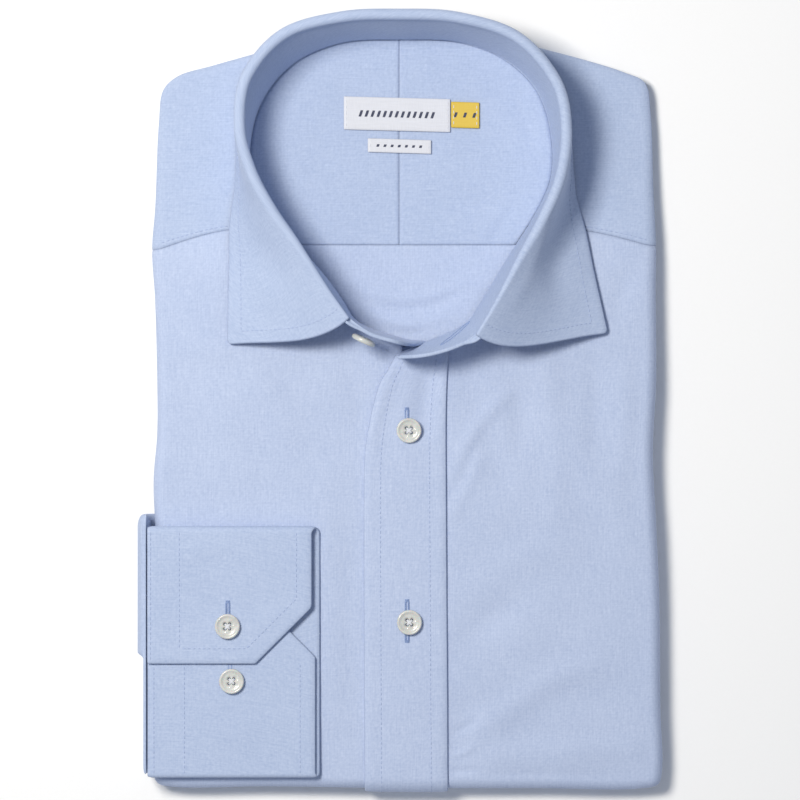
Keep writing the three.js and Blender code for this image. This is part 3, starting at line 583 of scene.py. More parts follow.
@dataclass(frozen=True)
class Pearl:
    """Cast resin with a pearly cloud in it, polished on the rim."""

    name: str
    deep: Colour = (0.50, 0.51, 0.49)
    pale: Colour = (0.80, 0.80, 0.75)

    def material(self) -> bpy.types.Material:
        """Cast the finish."""
        make = Recipe(self.name)
        place = make.object_place()
        swirl = make.add("TexNoise", {"Vector": place, "Scale": 170.0, "Detail": 4.0, "Distortion": 1.6})
        tone = make.mixed(make.maths("POWER", swirl, 1.3), self.deep, self.pale)
        rough = make.maths("ADD", make.maths("MULTIPLY", swirl, 0.2), 0.16)
        return make.finish(Base_Color=tone, Roughness=rough, Coat_Weight=0.35, Coat_Roughness=0.12,
                           Subsurface_Weight=0.12, Subsurface_Scale=0.002)


@dataclass(frozen=True)
class StudioWhite:
    """The plain pale ground under the shirt, with a faint paper tooth."""

    name: str
    colour: Colour = (0.93, 0.93, 0.93)

    def material(self) -> bpy.types.Material:
        """Paint the finish."""
        make = Recipe(self.name)
        place = make.object_place()
        tooth = make.add("TexNoise", {"Vector": place, "Scale": 900.0, "Detail": 2.0})
        pale = tuple(min(part * 1.02, 1.0) for part in self.colour)
        return make.finish(Base_Color=make.mixed(tooth, self.colour, pale), Roughness=0.9,
                           Specular_IOR_Level=0.1)


@dataclass
class Finishes:
    """Every finish on the shirt, made once."""

    lengthwise: bpy.types.Material = field(init=False)
    crosswise: bpy.types.Material = field(init=False)
    thread: bpy.types.Material = field(init=False)
    buttonhole_thread: bpy.types.Material = field(init=False)
    button_thread: bpy.types.Material = field(init=False)
    mark_thread: bpy.types.Material = field(init=False)
    white: bpy.types.Material = field(init=False)
    yellow: bpy.types.Material = field(init=False)
    pearl: bpy.types.Material = field(init=False)

    def __post_init__(self) -> None:
        """Make the materials."""
        self.lengthwise = Shirting("shirting_lengthwise").material()
        # The crosswise copy is painted a little darker than the lengthwise one: painted shade standing in for
        # the weaker sheen of cloth cut across the grain.
        self.crosswise = Shirting("shirting_crosswise_shaded", Grain.CROSSWISE, (0.335, 0.420, 0.615),
                                  (0.545, 0.625, 0.800)).material()
        # The sewing thread is darker than the cloth: partly the thread's own blue, partly painted shade of
        # the stitch holes and grooves.
        self.thread = Thread("sewing_thread_shaded", (0.30, 0.38, 0.58), (0.47, 0.55, 0.75)).material()
        self.buttonhole_thread = Thread("buttonhole_thread", (0.16, 0.24, 0.46),
                                        (0.33, 0.44, 0.70)).material()
        self.button_thread = Thread("button_thread", (0.62, 0.64, 0.70), (0.85, 0.86, 0.88)).material()
        self.mark_thread = Thread("mark_thread", (0.03, 0.04, 0.08), (0.09, 0.10, 0.16)).material()
        self.white = LabelCloth("label_white_satin", (0.58, 0.59, 0.64), (0.76, 0.77, 0.81)).material()
        self.yellow = LabelCloth("label_yellow_satin", (0.63, 0.43, 0.035), (0.75, 0.53, 0.070)).material()
        self.pearl = Pearl("pearl_resin").material()


@dataclass
class Workroom:
    """Where pieces get their finish, ride on the shirt and are reported."""

    finishes: Finishes
    pieces: list[str] = field(default_factory=list)

    def keep(
        self, made: bpy.types.Object, finish: bpy.types.Material, slot: Slot, nodes: Sequence[str] = (),
    ) -> bpy.types.Object:
        """Finish a piece and fix it to the shirt.

        Args:
            made: The piece.
            finish: Its material.
            slot: The record's slot that it takes its finish from; not used.
            nodes: The nodes of the frame that it stands for.

        Returns:
            The same piece.
        """
        made.data.materials.append(finish)
        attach(made, BODY)
        if nodes:
            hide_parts(*nodes)
        self.pieces.append(made.name)
        log.info("%s: %d faces", made.name, len(made.data.polygons))
        return made

    def cloth(
        self, node: str, surface: Surface, thickness: float, flat: Pair, area: float,
        rests_on: Sequence[str], grain: Grain = Grain.LENGTHWISE, edge: Edge = SEWN_EDGE,
    ) -> bpy.types.Object:
        """Make a piece of shirting in place of its node.

        Args:
            node: The node that it stands for.
            surface: Its outside.
            thickness: Its thickness in millimetres.
            flat: Width and length of the cut that shows, in millimetres; not used.
            area: Area of that cut in square millimetres; not used.
            rests_on: What it lies on; not used.
            grain: Which way its warp runs.
            edge: How its edge is finished.

        Returns:
            The piece.
        """
        made = make_object("shirt_" + node, *shell(surface, thickness, edge))
        # Crosswise pieces take the copy that is painted darker as shade.
        finish = self.finishes.lengthwise if grain is Grain.LENGTHWISE else self.finishes.crosswise
        self.keep(made, finish, Slot.SHIRTING, [node])
        return made


# Sewing


@dataclass(frozen=True)
class Stitch:
    """One kind of stitch: its length on the cloth, the pitch to the next, and its thread."""

    length: float = 1.6
    pitch: float = 2.2
    radius: float = 0.18
    lift: float = 0.01


TOPSTITCH = Stitch()
LIP = Stitch(length=1.3, pitch=1.2, radius=0.24, lift=0.02)


@dataclass
class Seamstress:
    """Gathers stitches and joins them into one mesh."""

    STATIONS = np.array([-1.0, -0.72, 0.0, 0.72, 1.0])
    GIRTH = np.array([0.3, 0.85, 1.0, 0.85, 0.3])
    RISE = np.array([-1.0, 0.0, 0.35, 0.0, -1.0])
    SIDES = 6

    blocks: list[Array] = field(default_factory=list)

    def bead(self, centre: Array, along: Array, up: Array, stitch: Stitch) -> None:
        """Lay stitches as low arched beads of thread.

        Args:
            centre: Middle of each stitch.
            along: Its direction.
            up: The outward direction of the cloth there.
            stitch: The kind of stitch.
        """
        along = along / np.linalg.norm(along, axis=1, keepdims=True)
        aside = np.cross(along, up)
        aside /= np.linalg.norm(aside, axis=1, keepdims=True)
        rise = np.cross(aside, along)
        angle = 2 * np.pi * np.arange(self.SIDES) / self.SIDES
        spine = along[:, None] * (self.STATIONS * stitch.length / 2)[None, :, None]
        spine = spine + rise[:, None] * (self.RISE * stitch.radius + stitch.lift)[None, :, None]
        spine = spine + centre[:, None]
        ring = aside[:, None] * np.cos(angle)[None, :, None] + rise[:, None] * np.sin(angle)[None, :, None]
        girth = (self.GIRTH * stitch.radius)[None, :, None, None]
        self.blocks.append((spine[:, :, None] + ring[:, None] * girth).reshape(len(centre), -1, 3))

    def row(self, path: Array, up: Array, stitch: Stitch = TOPSTITCH) -> None:
        """Sew a row of stitches end to end along a path.

        Args:
            path: Points along the row.
            up: The outward direction of the cloth at each of them.
            stitch: The kind of stitch.
        """
        reach = np.concatenate(([0.0], np.cumsum(np.linalg.norm(np.diff(path, axis=0), axis=1))))
        count = max(int(reach[-1] / stitch.pitch), 1)
        middle = (np.arange(count) + 0.5) * reach[-1] / count

        def read(values: Array, where: Array) -> Array:
            """Read the path's values at lengths along it."""
            return np.stack([np.interp(where, reach, values[:, k]) for k in range(3)], axis=-1)

        half = stitch.length / 2
        self.bead(read(path, middle), read(path, middle + half) - read(path, middle - half),
                  read(up, middle), stitch)

    def satin(self, centre: Array, along: Array, up: Array, length: float, stitch: Stitch) -> None:
        """Sew a buttonhole: two close rows of short stitches round a slit, and a bar at each end.

        Args:
            centre: Middle of the slit.
            along: Direction of the slit.
            up: The outward direction of the cloth.
            length: Length of the slit.
            stitch: The kind of stitch; its pitch is the spacing along the slit.
        """
        along = along / np.linalg.norm(along)
        aside = np.cross(along, up)
        places = np.arange(-length / 2, length / 2, stitch.pitch)
        for sign in (-1, 1):
            middle = centre + along * places[:, None] + aside * sign * (stitch.length / 2 + 0.12)
            self.bead(middle, np.tile(aside, (len(places), 1)), np.tile(up, (len(places), 1)), stitch)
            bar = centre + along * sign * (length / 2 + np.arange(3) * stitch.pitch)[:, None]
            wide = Stitch(stitch.length * 2.1, stitch.pitch, stitch.radius * 1.1, stitch.lift)
            self.bead(bar, np.tile(aside, (3, 1)), np.tile(up, (3, 1)), wide)

    def joined(self, name: str) -> bpy.types.Object:
        """Return all stitches laid so far as one object."""
        points = np.concatenate(self.blocks)
        self.blocks = []
        sides, rings = self.SIDES, len(self.STATIONS)
        local = np.arange(sides * rings).reshape(rings, sides)
        ahead = np.roll(local, -1, axis=1)
        quads = np.stack([local[:-1], ahead[:-1], ahead[1:], local[1:]], axis=-1).reshape(-1, 4)
        caps = [local[0][::-1].tolist(), local[-1].tolist()]
        faces: list[list[int]] = []
        for count in range(len(points)):
            start = count * sides * rings
            faces.extend((quads + start).tolist())
            faces.extend([[corner + start for corner in cap] for cap in caps])
        return make_object(name, points.reshape(-1, 3), faces)


# The form that every piece lies on


@dataclass(frozen=True)
class FoldedForm:
    """Outline and heights of the folded shirt."""

    roll_width: float = 5.0
    roll_floor: float = 5.0
    roll_end: float = 155.0
    roll_share: float = 0.8
    crown: float = 1.4
    half_width: float = 118.0
    outline_table: Table = Table(("x", "y"), (
        (0, -175.0), (60, -175.0), (108, -175.2), (116.4, -173.2), (118.1, -165.5), (117.3, -138),
        (116.8, -89), (115.4, -56), (113.9, -24), (115.4, 10), (115.2, 50), (115.4, 70), (114.2, 97),
        (113.2, 128), (110.6, 143.2), (101, 148), (84, 153.4), (63, 159), (46, 163.6), (20, 167.4),
        (-20, 168), (-46, 163), (-63, 157.2), (-84.7, 151), (-100.5, 146.2), (-107, 140), (-109, 125),
        (-110.6, 87), (-112, 68), (-110.6, 45), (-109.6, 9), (-109.6, -15), (-111.2, -36), (-110.4, -62),
        (-110.2, -140), (-111.8, -166), (-109.6, -172.6), (-103, -174.4), (-60, -174.2),
    ))
    heights: Table = Table(("y", "z"), (
        (-180, 16.8), (-120, 18.0), (-40, 18.4), (20, 17.6), (55, 16.0), (80, 13.6), (120, 11.2), (172, 9.6),
    ))
    folds: Table = Table(("fromX", "fromY", "toX", "toY", "reach", "rise"), (
        (-25, 26, -18, -8, 5, -0.6), (30, 12, 46, -34, 6, -0.6), (24, -50, 34, -28, 4, 0.7),
        (24, -166, 30, -140, 6, -0.6), (44, -160, 104, -156, 6, 0.7), (-96, 40, -60, 8, 7, 0.6),
        (60, 20, 100, -60, 8, 0.6), (14, 18, 9, -12, 5.5, -1.0),
    ))
    inside_heights: Table = Table(("y", "middle", "edge"), (
        (15, 9.0, 9.4), (45, 8.6, 9.8), (60, 8.6, 10.8), (72, 8.7, 11.4), (88, 8.8, 11.6), (112, 8.8, 11.0),
        (140, 9.0, 10.0), (165, 9.4, 9.6),
    ))
    neck_widths: Table = Table(("y", "width"), (
        (15, 14), (36, 26), (70, 49), (100, 67), (120, 67.5), (140, 60), (154, 45), (163, 24),
    ))
    creases: tuple[Crease, ...] = (
        Crease(((-20, 24), (-14, 12), (-11, -2)), 3.2, -0.7),
        Crease(((24, -32), (30, -18), (42, -2), (52, 6)), 3.6, 1.1, 0.5),
        Crease(((22, -44), (29, -34), (33, -20)), 2.4, -0.8),
        Crease(((52, 10), (54, -8), (52, -30)), 5.0, -0.8),
        Crease(((68, 26), (66, 4), (70, -26), (68, -60)), 6.0, 0.8),
        Crease(((86, 22), (88, -2), (86, -34)), 5.0, -0.9),
        Crease(((100, 24), (101, -6), (97, -48)), 5.0, 0.7),
        Crease(((23, -158), (46, -140), (74, -122), (96, -118)), 6.5, 1.0, 0.3),
        Crease(((24, -112), (42, -98), (60, -84)), 7.0, -0.9),
        Crease(((26, -88), (52, -72), (84, -66)), 8.0, 0.6),
        Crease(((23, -150), (30, -147), (36, -142)), 1.8, -0.5),
        Crease(((23, -160), (28, -159), (34, -155)), 1.6, 0.5),
        Crease(((22.5, -166), (28, -167), (36, -166)), 1.6, -0.5),
        Crease(((-22, -60), (-23, -100), (-22, -150)), 4.5, -0.5),
        Crease(((-30, -20), (-32, -60), (-30, -110)), 6.0, 0.4),
        Crease(((-100, 40), (-88, 24), (-74, 20)), 5.0, 0.6),
        Crease(((-104, 20), (-92, 2), (-84, -24)), 7.0, -0.5),
        Crease(((-60, 10), (-52, -14), (-54, -44)), 8.0, 0.45),
        Crease(((-100, 118), (-84, 120), (-74, 117)), 5.0, 0.5),
        Crease(((-102, 100), (-88, 103), (-77, 100)), 4.0, -0.4),
        Crease(((104, 84), (94, 96), (90, 116)), 6.0, 0.6),
        Crease(((108, 64), (100, 50), (96, 30)), 5.0, -0.6),
        Crease(((30, -170), (60, -169), (108, -170)), 3.0, -0.5),
    )
    inside_creases: tuple[Crease, ...] = (
        Crease(((-28, 52), (-10, 42), (12, 42), (30, 50)), 2.6, -0.6),
        Crease(((-30, 58), (-8, 47), (14, 47), (34, 56)), 2.6, 0.5),
        Crease(((-20, 42), (-4, 35), (12, 35), (26, 41)), 2.4, 0.5),
        Crease(((-14, 36), (0, 30), (12, 31)), 2.0, -0.5),
        Crease(((22, 96), (34, 88), (48, 92)), 4.0, -0.6, 0.4),
        Crease(((40, 72), (46, 80), (54, 90)), 2.6, -0.7),
        Crease(((24, 84), (38, 76), (50, 84)), 4.0, 0.5),
        Crease(((-56, 120), (-46, 100), (-44, 84)), 5.0, 0.5),
        Crease(((50, 140), (58, 124), (60, 106)), 4.0, -0.5),
    )
    ripples: tuple[Ripple, ...] = (Ripple(11, 62, 0.30), Ripple(12, 23, 0.12))

    def __post_init__(self) -> None:
        """Lay the outline once."""
        object.__setattr__(self, "outline", PlanCurve(self.outline_table.columns("x", "y"), closed=True))

    def smooth(self, x: Array, y: Array) -> Array:
        """Return the height of the cloth without its folds."""
        return self.heights.by("y", "z", y) - self.crown * (x / self.half_width) ** 2

    def base(self, x: Array, y: Array) -> Array:
        """Return the height with the largest folds."""
        total = self.smooth(x, y)
        for from_x, from_y, to_x, to_y, reach, rise in self.folds.rows:
            dx, dy = to_x - from_x, to_y - from_y
            along = np.clip(((x - from_x) * dx + (y - from_y) * dy) / (dx * dx + dy * dy), 0, 1)
            distance = np.hypot(x - from_x - along * dx, y - from_y - along * dy)
            total = total + rise * np.exp(-((distance / reach) ** 2))
        return total

    def free(self, x: Array, y: Array) -> Array:
        """Return 1 where the cloth lies free, and 0 where a piece is laid on it."""
        placket = 1 - smoothstep(np.abs(x - 2.6), 17.5, 21.0)
        placket = placket * (1 - smoothstep(y, 18, 26))
        cuff = smoothstep(-x, 34, 40) * (1 - smoothstep(y, -58, -52))
        return (1 - placket) * (1 - cuff)

    def height(self, x: Array, y: Array) -> Array:
        """Return the height of the outer cloth with its creases."""
        relief = sum(crease.height(x, y) for crease in self.creases)
        relief = relief + sum(ripple.at(x, y) for ripple in self.ripples)
        return self.base(x, y) + relief * self.free(x, y)

    def inside(self, x: Array, y: Array) -> Array:
        """Return the height of the cloth inside the neck, without creases."""
        middle = self.inside_heights.by("y", "middle", y)
        edge = self.inside_heights.by("y", "edge", y)
        share = np.minimum(np.abs(x) / self.neck_widths.by("y", "width", y), 1.1)
        return middle + (edge - middle) * share ** 3

    def inside_relief(self, x: Array, y: Array) -> Array:
        """Return the creases inside the neck, none of them under a label."""
        relief = sum(crease.height(x, y) for crease in self.inside_creases) + Ripple(21, 40, 0.12).at(x, y)
        label = (1 - smoothstep(np.abs(x), 36, 42)) * smoothstep(y, 102, 109) * (1 - smoothstep(y, 138, 144))
        return relief * (1 - label)

    def outward(self, share: Array) -> Array:
        """Return the direction out of the folded body at its edge."""
        tangent = self.outline.tangent(share)
        return np.stack([tangent[..., 1], -tangent[..., 0]], axis=-1)

    def roll(self, inner: Array, share: Array, steps: int, lift: float = 0.0) -> Array:
        """Roll the cloth over the body's edge and under.

        Args:
            inner: Where each row of cloth comes from, as X and Y.
            share: Where each row meets the outline, as a share of its length.
            steps: How many steps the roll has.
            lift: How far the cloth lies outside the body's own cloth.

        Returns:
            Rows by steps by X, Y and Z.
        """
        edge, outward = self.outline.at(share), self.outward(share)
        inward = inner - edge
        depth = np.maximum(-(inward * outward).sum(-1), 0.1)
        width = np.minimum(self.roll_width, self.roll_share * depth)
        step = inward * (width / depth)[:, None]
        start = edge + step
        top = self.base(*start.T) if lift else self.height(*start.T)
        half = (top - self.roll_floor) / 2
        angle = np.radians(self.roll_end) * np.arange(steps + 1) / steps
        reach = 1 - np.sin(angle)[None, :] * ((width + lift) / width)[:, None]
        plan = edge[:, None] + step[:, None] * reach[..., None]
        z = self.roll_floor + half[:, None] + (half + lift)[:, None] * np.cos(angle)[None, :]
        return np.concatenate([plan, z[..., None]], axis=-1)


# Fronts, yokes and the hidden layers


@dataclass(frozen=True)
class Shoulder:
    """A shoulder seam between a front and the yoke."""

    side: Side
    neck: Pair
    edge: Pair
    bow: float


@dataclass
class Body:
    """The folded body: both fronts, the outer yoke, the placket and the layers under them."""

    room: Workroom
    form: FoldedForm
    neck_seam: PlanCurve
    wall: float = 0.9
    placket_wall: float = 1.2
    placket_lift: float = 1.7
    opening_foot: float = -166.0
    left: Shoulder = Shoulder(Side.LEFT, (-53.7, 78.2), (-112, 67.5), 3.0)
    right: Shoulder = Shoulder(Side.RIGHT, (57.2, 78.2), (115.4, 69.3), 2.2)
    bow_fade: float = 0.35
    placket_edges: Table = Table(("leftX", "leftY", "rightX", "rightY"), (
        (-1.7, 20.0, 21.9, 30.4), (-5.5, 13.0, 20.9, 16.0), (-9.1, 6.8, 20.4, 7.0), (-12.6, -6.0, 20.1, -6.0),
        (-15.3, -22.5, 20.1, -22.5), (-15.9, -45, 20.2, -45), (-15.8, -110, 20.6, -110),
        (-15.5, -170, 21, -170),
    ))
    placket_row_inset: float = 7.0
    placket_creases: tuple[Crease, ...] = (
        Crease(((-1, 19), (-6, 8), (-11, -6), (-14, -22)), 4.0, 1.0),
        Crease(((15, 19), (12.5, 8), (10.5, -4), (8, -18)), 5.5, -1.0),
        Crease(((4, -2), (2, -22), (5, -42)), 5.0, 0.3),
        Crease(((-12, -60), (-2, -76), (10, -80)), 6.0, 0.25),
        Crease(((-12, -128), (0, -136), (14, -132)), 7.0, 0.25),
        Crease(((8, -150), (14, -158), (18, -166)), 3.0, 0.3),
    )

    def seam_stretch(self, start: Pair, end: Pair, aside: float) -> PlanCurve:
        """Return the stretch of the neck seam between two places, moved aside."""
        shares = np.linspace(self.neck_seam.nearest(*start), self.neck_seam.nearest(*end), 13)
        tangent = self.neck_seam.tangent(shares)
        return PlanCurve(self.neck_seam.at(shares) + aside * np.column_stack([-tangent[:, 1], tangent[:, 0]]))

    def panel(self, inner: Array, share: Array, bow: float, flat_steps: int, roll_steps: int) -> Surface:
        """Lay a panel between an inner path and a stretch of the body's edge.

        Args:
            inner: The inner path, one point for each row.
            share: Where each row meets the outline.
            bow: How far the first rows bow to +Y.
            flat_steps: Steps across the flat part.
            roll_steps: Steps round the edge.

        Returns:
            The outside of the panel.
        """
        roll = self.form.roll(inner, share, roll_steps)
        s = (np.arange(flat_steps) / flat_steps)[None, :, None]
        flat = inner[:, None] * (1 - s) + roll[:, :1, :2] * s
        t = np.linspace(0, 1, len(inner))
        fade = np.maximum(1 - t / self.bow_fade, 0) ** 2
        flat[..., 1] += bow * fade[:, None] * np.sin(np.pi * s[..., 0])
        z = self.form.height(flat[..., 0], flat[..., 1])
        points = np.concatenate([np.concatenate([flat, z[..., None]], axis=-1), roll], axis=1)
        outward = self.form.outward(share)[:, None]
        drop = np.maximum(points[:, flat_steps:flat_steps + 1, 2] - points[..., 2], 0)
        drop[:, :flat_steps] = 0
        cut = points[..., :2] + outward * drop[..., None]
        if share[-1] < share[0]:
            points, cut = points[::-1], cut[::-1]
        return Surface(points, cut)

    def front(self, shoulder: Shoulder, opening_x: float, opening_top: float) -> Surface:
        """Return the outside of one front.

        Args:
            shoulder: The shoulder seam that it starts from.
            opening_x: Where its edge lies under the placket.
            opening_top: Where its neck seam ends.

        Returns:
            The outside of the front.
        """
        half_gap = SEAM_LINE / 2
        neck = self.seam_stretch(shoulder.neck, (opening_x, opening_top), half_gap)
        foot = np.array([opening_x, self.opening_foot])
        start = neck.at(1.0)
        drop = float(np.linalg.norm(foot - start))
        rows = 210
        reach = np.linspace(0, 1, rows + 1) * (neck.length + drop)
        on_neck = neck.at(np.minimum(reach / neck.length, 1))
        below = np.clip((reach - neck.length) / drop, 0, 1)[:, None]
        inner = np.where(below > 0, start + (foot - start) * below, on_neck)
        first = self.form.outline.nearest(shoulder.edge[0], shoulder.edge[1] - half_gap)
        last = self.form.outline.nearest(60, -175) * opening_x / 60
        last += 1 if shoulder.side is Side.LEFT else 0
        return self.panel(inner, np.linspace(first, last, rows + 1), shoulder.bow, 64, 14)

    def yoke(self, shoulder: Shoulder) -> Surface:
        """Return the outside of one half of the outer yoke."""
        sign, half_gap = shoulder.side.value, SEAM_LINE / 2
        start = (shoulder.neck[0], shoulder.neck[1] + SEAM_LINE)
        neck = self.seam_stretch(start, (sign * 0.3, 162.2), half_gap)
        first = self.form.outline.nearest(shoulder.edge[0], shoulder.edge[1] + half_gap)
        last = self.form.outline.nearest(sign * 0.3, 168)
        t = np.linspace(0, 1, 111)
        return self.panel(neck.at(t), first + (last - first) * t, shoulder.bow, 34, 14)

    def placket(self) -> Surface:
        """Return the outside of the placket, laid on the fronts and turned under at the hem."""
        count, columns, lift = 150, 18, self.placket_lift
        at = np.linspace(0, len(self.placket_edges.rows) - 1, count + 1)
        edge = {name: through(self.placket_edges.column(name), at) for name in self.placket_edges.names}
        s = np.linspace(0, 1, columns + 1)[None]
        x = edge["leftX"][:, None] * (1 - s) + edge["rightX"][:, None] * s
        y = edge["leftY"][:, None] * (1 - s) + edge["rightY"][:, None] * s
        relief = sum(crease.height(x, y) for crease in self.placket_creases) + Ripple(31, 30, 0.07).at(x, y)
        pull = np.exp(-((np.minimum(s, 1 - s) * 36 - self.placket_row_inset) / 1.3) ** 2)
        relief = relief - 0.16 * pull * (1 + 0.8 * np.sin(y * 0.75))
        flat = np.stack([x, y, self.form.base(x, y) + lift + relief], axis=-1)
        foot = flat[-1]
        share = np.array([self.form.outline.nearest(px, -175) for px in foot[:, 0]])
        turned = self.form.roll(np.column_stack([foot[:, 0], np.full(columns + 1, -160.0)]), share, 14, lift)
        points = np.concatenate([flat[:-1], turned.transpose(1, 0, 2)])[::-1]
        return Surface(points, arc_cut(points))

    def layers(self) -> bpy.types.Object:
        """Make the hidden folded layers as one stack whose edges show under the rolled cloth."""
        core = FoldedCore(self.form, self.neck_seam)
        points, faces = core.mesh()
        made = make_object("shirt_folded_layers", points, faces)
        return self.room.keep(made, self.room.finishes.lengthwise, Slot.SHIRTING, ["folded_core"])

    def build(self) -> None:
        """Make and dress every piece of the body."""
        cloth = self.room.cloth
        self.layers()
        fronts = {
            "front_button_side": self.front(self.left, 1.0, 28.0),
            "front_buttonhole_side": self.front(self.right, 3.5, 23.0),
        }
        for node, surface in fronts.items():
            cloth(node, surface, self.wall, (130, 268), 29800, ["folded_core"])
        yokes = {"yoke_outside_left": self.yoke(self.left), "yoke_outside_right": self.yoke(self.right)}
        for node, surface in yokes.items():
            cloth(node, surface, self.wall, (120, 84), 5600, ["folded_core"], Grain.CROSSWISE)
        placket = self.placket()
        cloth("placket", placket, self.placket_wall, (36.5, 212), 7500,
              ["front_button_side", "front_buttonhole_side"], edge=TURNED_EDGE)
        self.sew(placket)

    def sew(self, placket: Surface) -> None:
        """Sew the rows along the placket and beside the shoulder seams."""
        needle = Seamstress()
        rows, columns = placket.points.shape[0] - 1, placket.points.shape[1] - 1
        walk = np.linspace(rows - 1.0, 4.0, 900)
        for inset in (self.placket_row_inset / 36, 1 - self.placket_row_inset / 36):
            needle.row(*placket.sample(walk, np.full(walk.shape, inset * columns)))
        for shoulder in (self.left, self.right):
            s = np.linspace(0.02, 0.93, 200)
            x = shoulder.neck[0] + (shoulder.edge[0] - shoulder.neck[0]) * s
            y = shoulder.neck[1] + (shoulder.edge[1] - shoulder.neck[1]) * s
            y = y + shoulder.bow * np.sin(np.pi * s) + 1.7
            path = np.column_stack([x, y, self.form.height(x, y)])
            needle.row(path, np.tile([0.0, 0.0, 1.0], (len(s), 1)))
        self.room.keep(needle.joined("stitching_body"), self.room.finishes.thread, Slot.SHIRTING)


@dataclass
class FoldedCore:
    """The stack of hidden layers, hollowed at the neck and layered at its edge."""

    form: FoldedForm
    neck_seam: PlanCurve
    spokes: int = 288
    centre: Pair = (0.0, 105.0)
    wall: float = 1.2
    clearance: float = 1.1
    ledge: float = 10.0
    slope: float = 3.0
    notch: float = 8.0
    corner_ease: float = 1.8
    layer_rows: Table = Table(("valley", "peak", "top", "foot"), (
        (4.6, 2.1, 5.4, 3.9), (3.6, 2.4, 3.9, 2.5), (3.9, 2.7, 2.5, 1.2), (3.8, 3.2, 1.2, 0.0),
    ))

    def seam_reach(self, direction: Array) -> Array:
        """Return how far the neck seam lies from the centre in each direction."""
        seam = self.neck_seam.at(np.linspace(0, 1, 481)) - np.array(self.centre)
        reach = np.linalg.norm(seam, axis=1)
        turn = 1 - direction @ (seam / reach[:, None]).T
        return reach[np.argmin(turn, axis=1)]

    def mesh(self) -> tuple[Array, list]:
        """Work out the stack.

        Returns:
            Its points and its faces.
        """
        form, count = self.form, self.spokes
        share = np.arange(count) / count
        edge, outward = form.outline.at(share), form.outward(share)
        offset = edge - np.array(self.centre)
        distance = np.linalg.norm(offset, axis=1)
        direction = offset / distance[:, None]
        seam = self.seam_reach(direction)
        under = self.wall + self.clearance

        def at(reach: Array, z: Array) -> Array:
            """Return the ring of points at a reach from the centre."""
            return np.column_stack([np.array(self.centre) + direction * reach[:, None], z])

        def dish(reach: Array) -> Array:
            """Return a ring on the hollow under the neck."""
            x, y = (np.array(self.centre) + direction * reach[:, None]).T
            return at(reach, np.minimum(form.inside(x, y), form.smooth(x, y)) - under)

        def covered(reach: Array) -> Array:
            """Return a ring just under the outer cloth."""
            x, y = (np.array(self.centre) + direction * reach[:, None]).T
            return at(reach, form.smooth(x, y) - under)

        closed = smoothstep(self.centre[1] + direction[:, 1] * seam, 70, 80)
        ledge = seam + self.ledge * (1 - closed) + 0.8 * closed
        slope = ledge + self.slope * (1 - closed) + 0.8 * closed
        across = np.maximum((direction * outward).sum(1), 0.25)
        width = np.minimum(form.roll_width, (distance - seam) * across * form.roll_share)
        roll_start = distance - width / across
        rings = [dish(seam * part) for part in (0.3, 0.65, 0.9, 1.0)]
        rings.append(dish(np.minimum(ledge, roll_start - 1)))
        first = np.minimum(slope, roll_start - 0.5)
        rings.extend(covered(first + (roll_start - first) * part) for part in (0, 0.25, 0.5, 0.75, 1.0))
        start = np.array(self.centre) + direction * roll_start[:, None]
        half = (form.smooth(*start.T) - form.roll_floor) / 2
        near_corner = smoothstep(np.abs(edge[:, 0]), 92, 106) * smoothstep(np.abs(edge[:, 1]), 120, 140)
        ease = self.corner_ease * near_corner
        for angle in np.radians([35, 70, 105, 150]):
            inset = width - np.maximum(width - under - 0.2, 0.6) * np.sin(angle) + ease
            z = form.roll_floor + half + np.maximum(half - under, 0.3) * np.cos(angle)
            rings.append(at(distance - inset / across, z))
        tuck = smoothstep(edge[:, 1], -178, -170) * (1 - smoothstep(edge[:, 1], -48, -38)) * (edge[:, 0] < 0)
        for number, (valley, peak, top, foot) in enumerate(self.layer_rows.rows):
            uneven = 0.35 * Ripple(41 + number, 90, 1.0).at(*edge.T)
            for step in np.linspace(0, 1, 7)[:-1]:
                inset = valley - (valley - peak) * np.sin(np.pi * step) + uneven * np.sin(np.pi * step)
                inset = inset + self.notch * tuck + ease
                rings.append(at(distance - inset / across, np.full(count, top + (foot - top) * step)))
        last = self.layer_rows.rows[-1]
        rings.append(at(distance - (last[0] + self.notch * tuck + ease) / across, np.zeros(count)))
        rings.append(at(distance * 0.5, np.zeros(count)))
        points = np.vstack([*rings, rings[0].mean(axis=0), rings[-1].mean(axis=0)])
        index = np.arange(len(rings) * count).reshape(len(rings), count)
        ahead = np.roll(index, -1, axis=1)
        quads = np.stack([index[:-1], index[1:], ahead[1:], ahead[:-1]], axis=-1).reshape(-1, 4)
        top_point, low_point = len(points) - 2, len(points) - 1
        fans = [[top_point, int(a), int(b)] for a, b in zip(index[0], ahead[0])]
        fans += [[low_point, int(b), int(a)] for a, b in zip(index[-1], ahead[-1])]
        return points, quads.tolist() + fans


# The inside of the neck


@dataclass(frozen=True)
class Label:
    """A woven label: its node, its place and its marks."""

    node: str
    left: float
    right: float
    top: float
    bottom: float
    tilt: float
    slot: Slot
    marks: int


